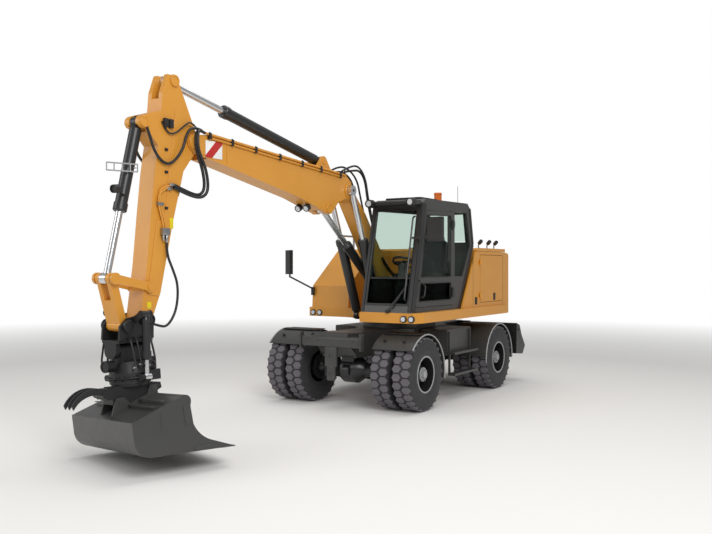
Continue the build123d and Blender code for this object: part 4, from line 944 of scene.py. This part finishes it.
# seat: black plinth, and cushions with crowned faces and a sewn line down each side
seatPlan = {"x": 0.52, "y": 0.725, "floor": 1.500}


def cushion(name, low, high, turn, pivot):
    piece = slab(low, high, 0.022, 3)
    pickFaces(piece, lambda middle, normal: abs(normal.x) > 0.9 or abs(normal.z) > 0.9)
    bpy.ops.mesh.inset(thickness=0.045, depth=0.010)
    bpy.ops.mesh.inset(thickness=0.008, depth=-0.006)
    bpy.ops.mesh.inset(thickness=0.010, depth=0.012)
    bpy.ops.object.mode_set(mode="OBJECT")
    activate(piece)
    smooth = piece.modifiers.new("crown", "SUBSURF")
    smooth.levels = smooth.render_levels = 2
    bpy.ops.object.modifier_apply(modifier=smooth.name)
    middle = Matrix.Translation(Vector(pivot))
    piece.matrix_world = middle @ Matrix.Rotation(math.radians(turn), 4, "Y") @ middle.inverted()
    piece.name = name
    finishPiece(piece, "upper", seatCloth, 60)
    return piece


sx, sy = seatPlan["x"], seatPlan["y"]
cushions = {
    "seatCushion": ((-0.20, 0.26), 0.235, (1.815, 1.925), -2, (0, 1.87)),
    "seatBack": ((-0.33, -0.22), 0.225, (1.90, 2.54), -11, (-0.26, 1.92)),
    "headRest": ((-0.435, -0.355), 0.13, (2.57, 2.765), -8, (-0.39, 2.62)),
}
for name, ((back, front), half, (bottom, top), turn, (pivotX, pivotZ)) in cushions.items():
    low, high = at(sx + back, sy - half, bottom), at(sx + front, sy + half, top)
    cushion(name, low, high, turn, at(sx + pivotX, sy, pivotZ))
plinth = [
    slab(at(sx - 0.19, sy - 0.16, seatPlan["floor"]), at(sx + 0.19, sy + 0.16, 1.66), 0.01),
    slab(at(sx - 0.15, sy - 0.12, 1.65), at(sx + 0.15, sy + 0.12, 1.80), 0.03),
    slab(at(sx - 0.20, sy - 0.20, 1.785), at(sx + 0.23, sy + 0.20, 1.825), 0.012),
    strut(at(sx - 0.30, sy, 1.80), at(sx - 0.385, sy, 2.56), 0.36, 0.05, (0, 1, 0), 0.02),
    bar(at(sx - 0.40, sy - 0.06, 2.50), at(sx - 0.415, sy - 0.06, 2.66), 0.008, 10, 0),
    bar(at(sx - 0.40, sy + 0.06, 2.50), at(sx - 0.415, sy + 0.06, 2.66), 0.008, 10, 0),
]
seatBase = trim("seatPlinth", plinth, "upper", blackPlastic)
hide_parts("seat")
print("seat done")

# body: panel seams, side vents, louvres, hood furniture, rear lamps, tank cap and deck plates
seams = []
for x in (-0.349, -1.640):
    seams.append(slab(at(x - 0.003, 1.196, 1.46), at(x + 0.003, 1.2012, 2.36), 0))
trim("sideSeams", seams, "upper", blackPlastic)


def vent(x, z, y):
    parts = [slab(at(x - 0.045, y - 0.004, z - 0.062), at(x + 0.045, y + 0.006, z + 0.062), 0.005)]
    for count in range(5):
        level = z - 0.044 + count * 0.022
        start, end = at(x - 0.036, y + 0.008, level), at(x + 0.036, y + 0.008, level)
        parts.append(strut(start, end, 0.010, 0.006, (0, 1, 1)))
    return parts


trim("sideVent", vent(-0.47, 1.549, 1.200), "upper", blackPlastic)
trim("doorVent", vent(-1.238, 1.600, 1.204), "engine_door", blackPlastic)
louvres = [slab(at(-1.62, -1.204, 1.62), at(-0.70, -1.196, 2.22), 0.004)]
for count in range(14):
    z = 1.66 + count * 0.04
    louvres.append(strut(at(-1.60, -1.206, z), at(-0.72, -1.206, z), 0.028, 0.004, (0, 1, 1.2), 0.001))
trim("coolerLouvres", louvres, "upper", blackPlastic)

hoodParts = [
    tube([at(-1.60, y, 2.428), at(-1.60, y, 2.47), at(-1.45, y, 2.47), at(-1.45, y, 2.428)], 0.010)
    for y in (-0.6, 0.6)
]
for count in range(9):
    x = -1.30 + count * 0.05
    hoodParts.append(strut(at(x, -0.85, 2.434), at(x, -0.25, 2.434), 0.022, 0.008, (1, 0, 0)))
trim("hoodGrille", hoodParts, "engine_hood", blackPlastic)
exhaust = [
    bar(at(-0.95, 0.20, 2.425), at(-0.95, 0.20, 2.60), 0.045, 28, 0.004),
    cup(at(-0.95, 0.20, 2.585), at(-0.93, 0.20, 2.665), 0.040, 0.005, 0.05, 28),
]
trim("exhaust", exhaust, "engine_hood", blackEnamel)
cameras = []
for x, y in ((-0.98, 1.02), (-1.35, 1.02), (-1.66, 1.02)):
    cameras.append(bar(at(x, y, 2.425), at(x, y, 2.50), 0.009, 12, 0))
    cameras.append(bar(at(x, y, 2.49), at(x + 0.05, y + 0.05, 2.535), 0.010, 12, 0))
    cameras.append(cup(at(x + 0.03, y + 0.03, 2.52), at(x + 0.09, y + 0.09, 2.555), 0.033, 0.006, 0.012, 24))
trim("hoodLamps", cameras, "engine_hood", blackPlastic)
rear = []
for hand in (-1, 1):
    rear.append(cup(at(-1.90, hand * 1.02, 1.36), at(-2.115, hand * 1.02, 1.36), 0.055, 0.008, 0.02))
    rear.append(cup(at(-1.95, hand * 0.88, 1.36), at(-2.165, hand * 0.88, 1.36), 0.055, 0.008, 0.02))
rear.append(slab(at(-2.275, -0.055, 2.20), at(-2.19, 0.055, 2.27), 0.012))
rear.append(cup(at(-2.25, 0, 2.235), at(-2.29, 0, 2.235), 0.022, 0.005, 0.004, 20))
trim("rearLampShells", rear, "upper", blackPlastic)
rearGlass = []
for hand in (-1, 1):
    rearGlass.append(cup(at(-2.08, hand * 1.02, 1.36), at(-2.104, hand * 1.02, 1.36), 0.046, 0.006, 0.002))
    rearGlass.append(cup(at(-2.13, hand * 0.88, 1.36), at(-2.154, hand * 0.88, 1.36), 0.046, 0.006, 0.002))
trim("rearLampGlasses", rearGlass, "upper", amberLens)
tankParts = [
    cup(at(-0.18, -0.85, 2.40), at(-0.18, -0.85, 2.445), 0.060, 0.010, 0.006),
    slab(at(-0.40, -0.70, 2.414), at(0.02, -0.54, 2.424), 0.003),
]
trim("tankCap", tankParts, "upper", blackPlastic)
deckParts = []
for x in (-0.35, 0.05):
    deckParts.append(slab(at(x, -0.46, 1.441), at(x + 0.37, 0.06, 1.447), 0.002))
    for row in range(5):
        for column in range(7):
            u, w = x + 0.05 + row * 0.068, -0.42 + column * 0.075
            deckParts.append(
                strut(at(u, w, 1.449), at(u + 0.03, w + 0.03, 1.449), 0.008, 0.004, (0, 0, 1), 0.001)
            )
trim("deckPlates", deckParts, "upper", blackEnamel)
for count, (y, radius) in enumerate(((0.135, 0.020), (0.165, 0.016), (-0.135, 0.020), (-0.165, 0.016))):
    hoseLoop(
        f"deckHose{count}",
        [
            (0.02, y, 1.46), (0.10, y, 1.62), (0.24, y, 1.80), (0.42, y * 0.9, 1.98),
            (0.62, y * 0.8, 2.10), (0.76, y * 0.75, 2.26),
        ],
        radius,
    )
print("body done")

# undercarriage: nose beam with its centre post, fender lips and knobs, blade edge, ladder treads
nose = [
    slab(at(2.020, -0.52, 0.930), at(2.095, 0.52, 1.085), 0.022, 3),
    slab(at(2.020, -0.545, 0.890), at(2.110, -0.520, 1.140), 0.006),
    slab(at(2.020, 0.520, 0.890), at(2.110, 0.545, 1.140), 0.006),
    slab(at(2.040, -0.105, 0.640), at(2.075, 0.105, 0.950), 0.008),
    slab(at(2.040, -0.075, 0.430), at(2.075, 0.075, 0.660), 0.020, 3),
    cup(at(2.060, 0, 0.800), at(2.082, 0, 0.800), 0.034, 0.008, 0.020),
    cup(at(2.060, 0, 0.540), at(2.082, 0, 0.540), 0.034, 0.008, 0.020),
    slab(at(1.560, -0.31, 1.119), at(2.060, 0.31, 1.128), 0.003),
]
for y in (-0.40, -0.22, 0.22, 0.40):
    nose.append(bar(at(2.090, y, 1.03), at(2.106, y, 1.03), 0.016, 6))
trim("noseBeam", nose, "chassis", greyEnamel)


# rolled lip that runs round a fender's outer edge
def fenderLip(x, y, first, last):
    deselectAll()
    start = at(x, y, tyre["radius"]) + Vector((math.cos(first), 0, math.sin(first))) * 0.584
    bpy.ops.mesh.primitive_circle_add(vertices=10, radius=0.010, location=start, rotation=(0, -first, 0))
    lip = bpy.context.object
    applyPlace(lip)
    bpy.ops.object.mode_set(mode="EDIT")
    bpy.ops.mesh.select_all(action="SELECT")
    bpy.ops.mesh.spin(steps=36, angle=last - first, center=at(x, y, tyre["radius"]), axis=(0, 1, 0))
    bpy.ops.mesh.select_all(action="SELECT")
    bpy.ops.mesh.normals_make_consistent(inside=False)
    bpy.ops.object.mode_set(mode="OBJECT")
    return lip


arcs = {"front": (41, 191), "rear": (-4, 184)}
for hand, side in ((1, "left"), (-1, "right")):
    for axle, (first, last) in arcs.items():
        body = "chassis" if axle == "rear" else "knuckle_" + side
        lipParts = [fenderLip(axles[axle], hand * 1.276, math.radians(first), math.radians(last))]
        trim(f"fenderLip_{axle}_{side}", lipParts, body, flangeGrey)
    knobs = [
        bar(at(1.76, hand * y, 1.02), at(1.80, hand * y, 1.055), 0.020, 16) for y in (0.76, 1.08)
    ]
    near, far = sorted((hand * 0.62, hand * 1.24))
    knobs.append(slab(at(1.30, near, 1.120), at(1.60, far, 1.132), 0.003))
    trim(f"fenderKnobs_{side}", knobs, "knuckle_" + side, blackPlastic)
edge = [
    strut(at(-2.545, 0, 0.625), at(-2.448, 0, 0.500), 2.50, 0.016, (0, 1, 0), 0.004),
]
for count in range(9):
    y = -1.12 + count * 0.28
    edge.append(bar(at(-2.515, y, 0.575), at(-2.500, y, 0.590), 0.018, 6))
trim("bladeEdge", edge, "blade", bareSteel)
print("undercarriage done")

# tool: everything here is placed from the tilt axis, then turned with the tool
toolPlace = Matrix.Translation(at(5.95, 0, 1.23)) @ Matrix.Rotation(math.radians(5.0), 4, "X")
bucketPlace = toolPlace @ Matrix.Rotation(math.radians(-16.9), 4, "Z")


def onTool(parts, name, body, finish, place):
    piece = joined(name, parts)
    piece.matrix_world = place
    return finishPiece(piece, body, finish)


bucketParts = []
for hand in (-1, 1):
    y = hand * 0.752
    bucketParts.append(strut((-0.238, y, -0.600), (-0.262, y, -0.800), 0.085, 0.012, (1, 0, 0)))
    bucketParts.append(strut((-0.30, y, -1.052), (-0.55, y, -1.062), 0.045, 0.012, (0, 0, 1)))
    bucketParts.append(strut((0.05, y, -0.64), (0.05, y, -0.80), 0.014, 0.006, (1, 0, 0)))
bucketParts.append(strut((0.345, 0, -0.70), (-0.17, 0, -0.512), 0.022, 0.010, (0, 1, 0)))
for x in (0.10, -0.02):
    z = -0.575 + (0.10 - x) * 0.34
    bucketParts.append(strut((x, -0.70, z), (x, 0.70, z), 0.030, 0.008, (1, 0, 0)))
onTool(bucketParts, "bucketStraps", "bucket", greyEnamel, bucketPlace)
lipParts = [strut((-0.790, 0, -1.099), (-0.62, 0, -1.092), 1.49, 0.012, (0, 1, 0), 0.002)]
onTool(lipParts, "bucketEdge", "bucket", bareSteel, bucketPlace)

housing = []
deselectAll()
bpy.ops.mesh.primitive_torus_add(
    major_radius=0.232, minor_radius=0.014, major_segments=48, minor_segments=8, location=(0, 0, -0.30)
)
band = bpy.context.object
band.scale = (1, 1, 0.8)
applyPlace(band)
housing.append(band)
for count in range(14):
    angle = 2 * math.pi * count / 14
    x, y = 0.215 * math.cos(angle), 0.215 * math.sin(angle)
    housing.append(bar((x, y, -0.33), (x, y, -0.275), 0.013, 6))
housing.append(slab((-0.30, -0.10, -0.24), (-0.20, 0.10, -0.10), 0.012))
housing.append(cup((0.22, 0.0, -0.16), (0.34, 0.0, -0.16), 0.062, 0.012, 0.008))
onTool(housing, "rotorBands", "rotor_housing", castBlack, toolPlace)
fittings = []
for hand in (-1, 1):
    for x, z in ((-0.14, -0.16), (-0.06, -0.19), (0.06, -0.17), (0.14, -0.20)):
        fittings.append(bar((x, hand * 0.205, z), (x, hand * 0.250, z + 0.012), 0.014, 6))
onTool(fittings, "rotorFittings", "rotor_housing", bareSteel, toolPlace)
for hand, side in ((1, "left"), (-1, "right")):
    for count, x in enumerate((5.81, 5.89, 6.01, 6.09)):
        hoseLoop(
            f"rotorHose_{side}{count}",
            [
                (x, hand * 0.118, 1.36), (x, hand * 0.175, 1.37), (x + 0.01, hand * 0.215, 1.30),
                (x, hand * 0.245, 1.18), (x, hand * 0.262, 1.09), (x, hand * 0.244, 1.055),
            ],
            0.011,
        )
hitchParts = []
for hand in (-1, 1):
    for x, z in ((5.80, 1.54), (6.10, 1.49)):
        y = hand * 0.163
        hitchParts.append(cup(at(x, y, z), at(x, y + hand * 0.022, z), 0.066, 0.014, 0.006, 32))
        for count in range(3):
            angle = 2 * math.pi * count / 3 + 0.5
            u, w = x + 0.045 * math.cos(angle), z + 0.045 * math.sin(angle)
            hitchParts.append(bar(at(u, y + hand * 0.014, w), at(u, y + hand * 0.030, w), 0.008, 6))
    near, far = sorted((hand * 0.10, hand * 0.150))
    hitchParts.append(slab(at(5.76, near, 1.335), at(5.86, far, 1.40), 0.010))
trim("hitchCaps", hitchParts, "tool_hitch", castBlack)
print("tool done")
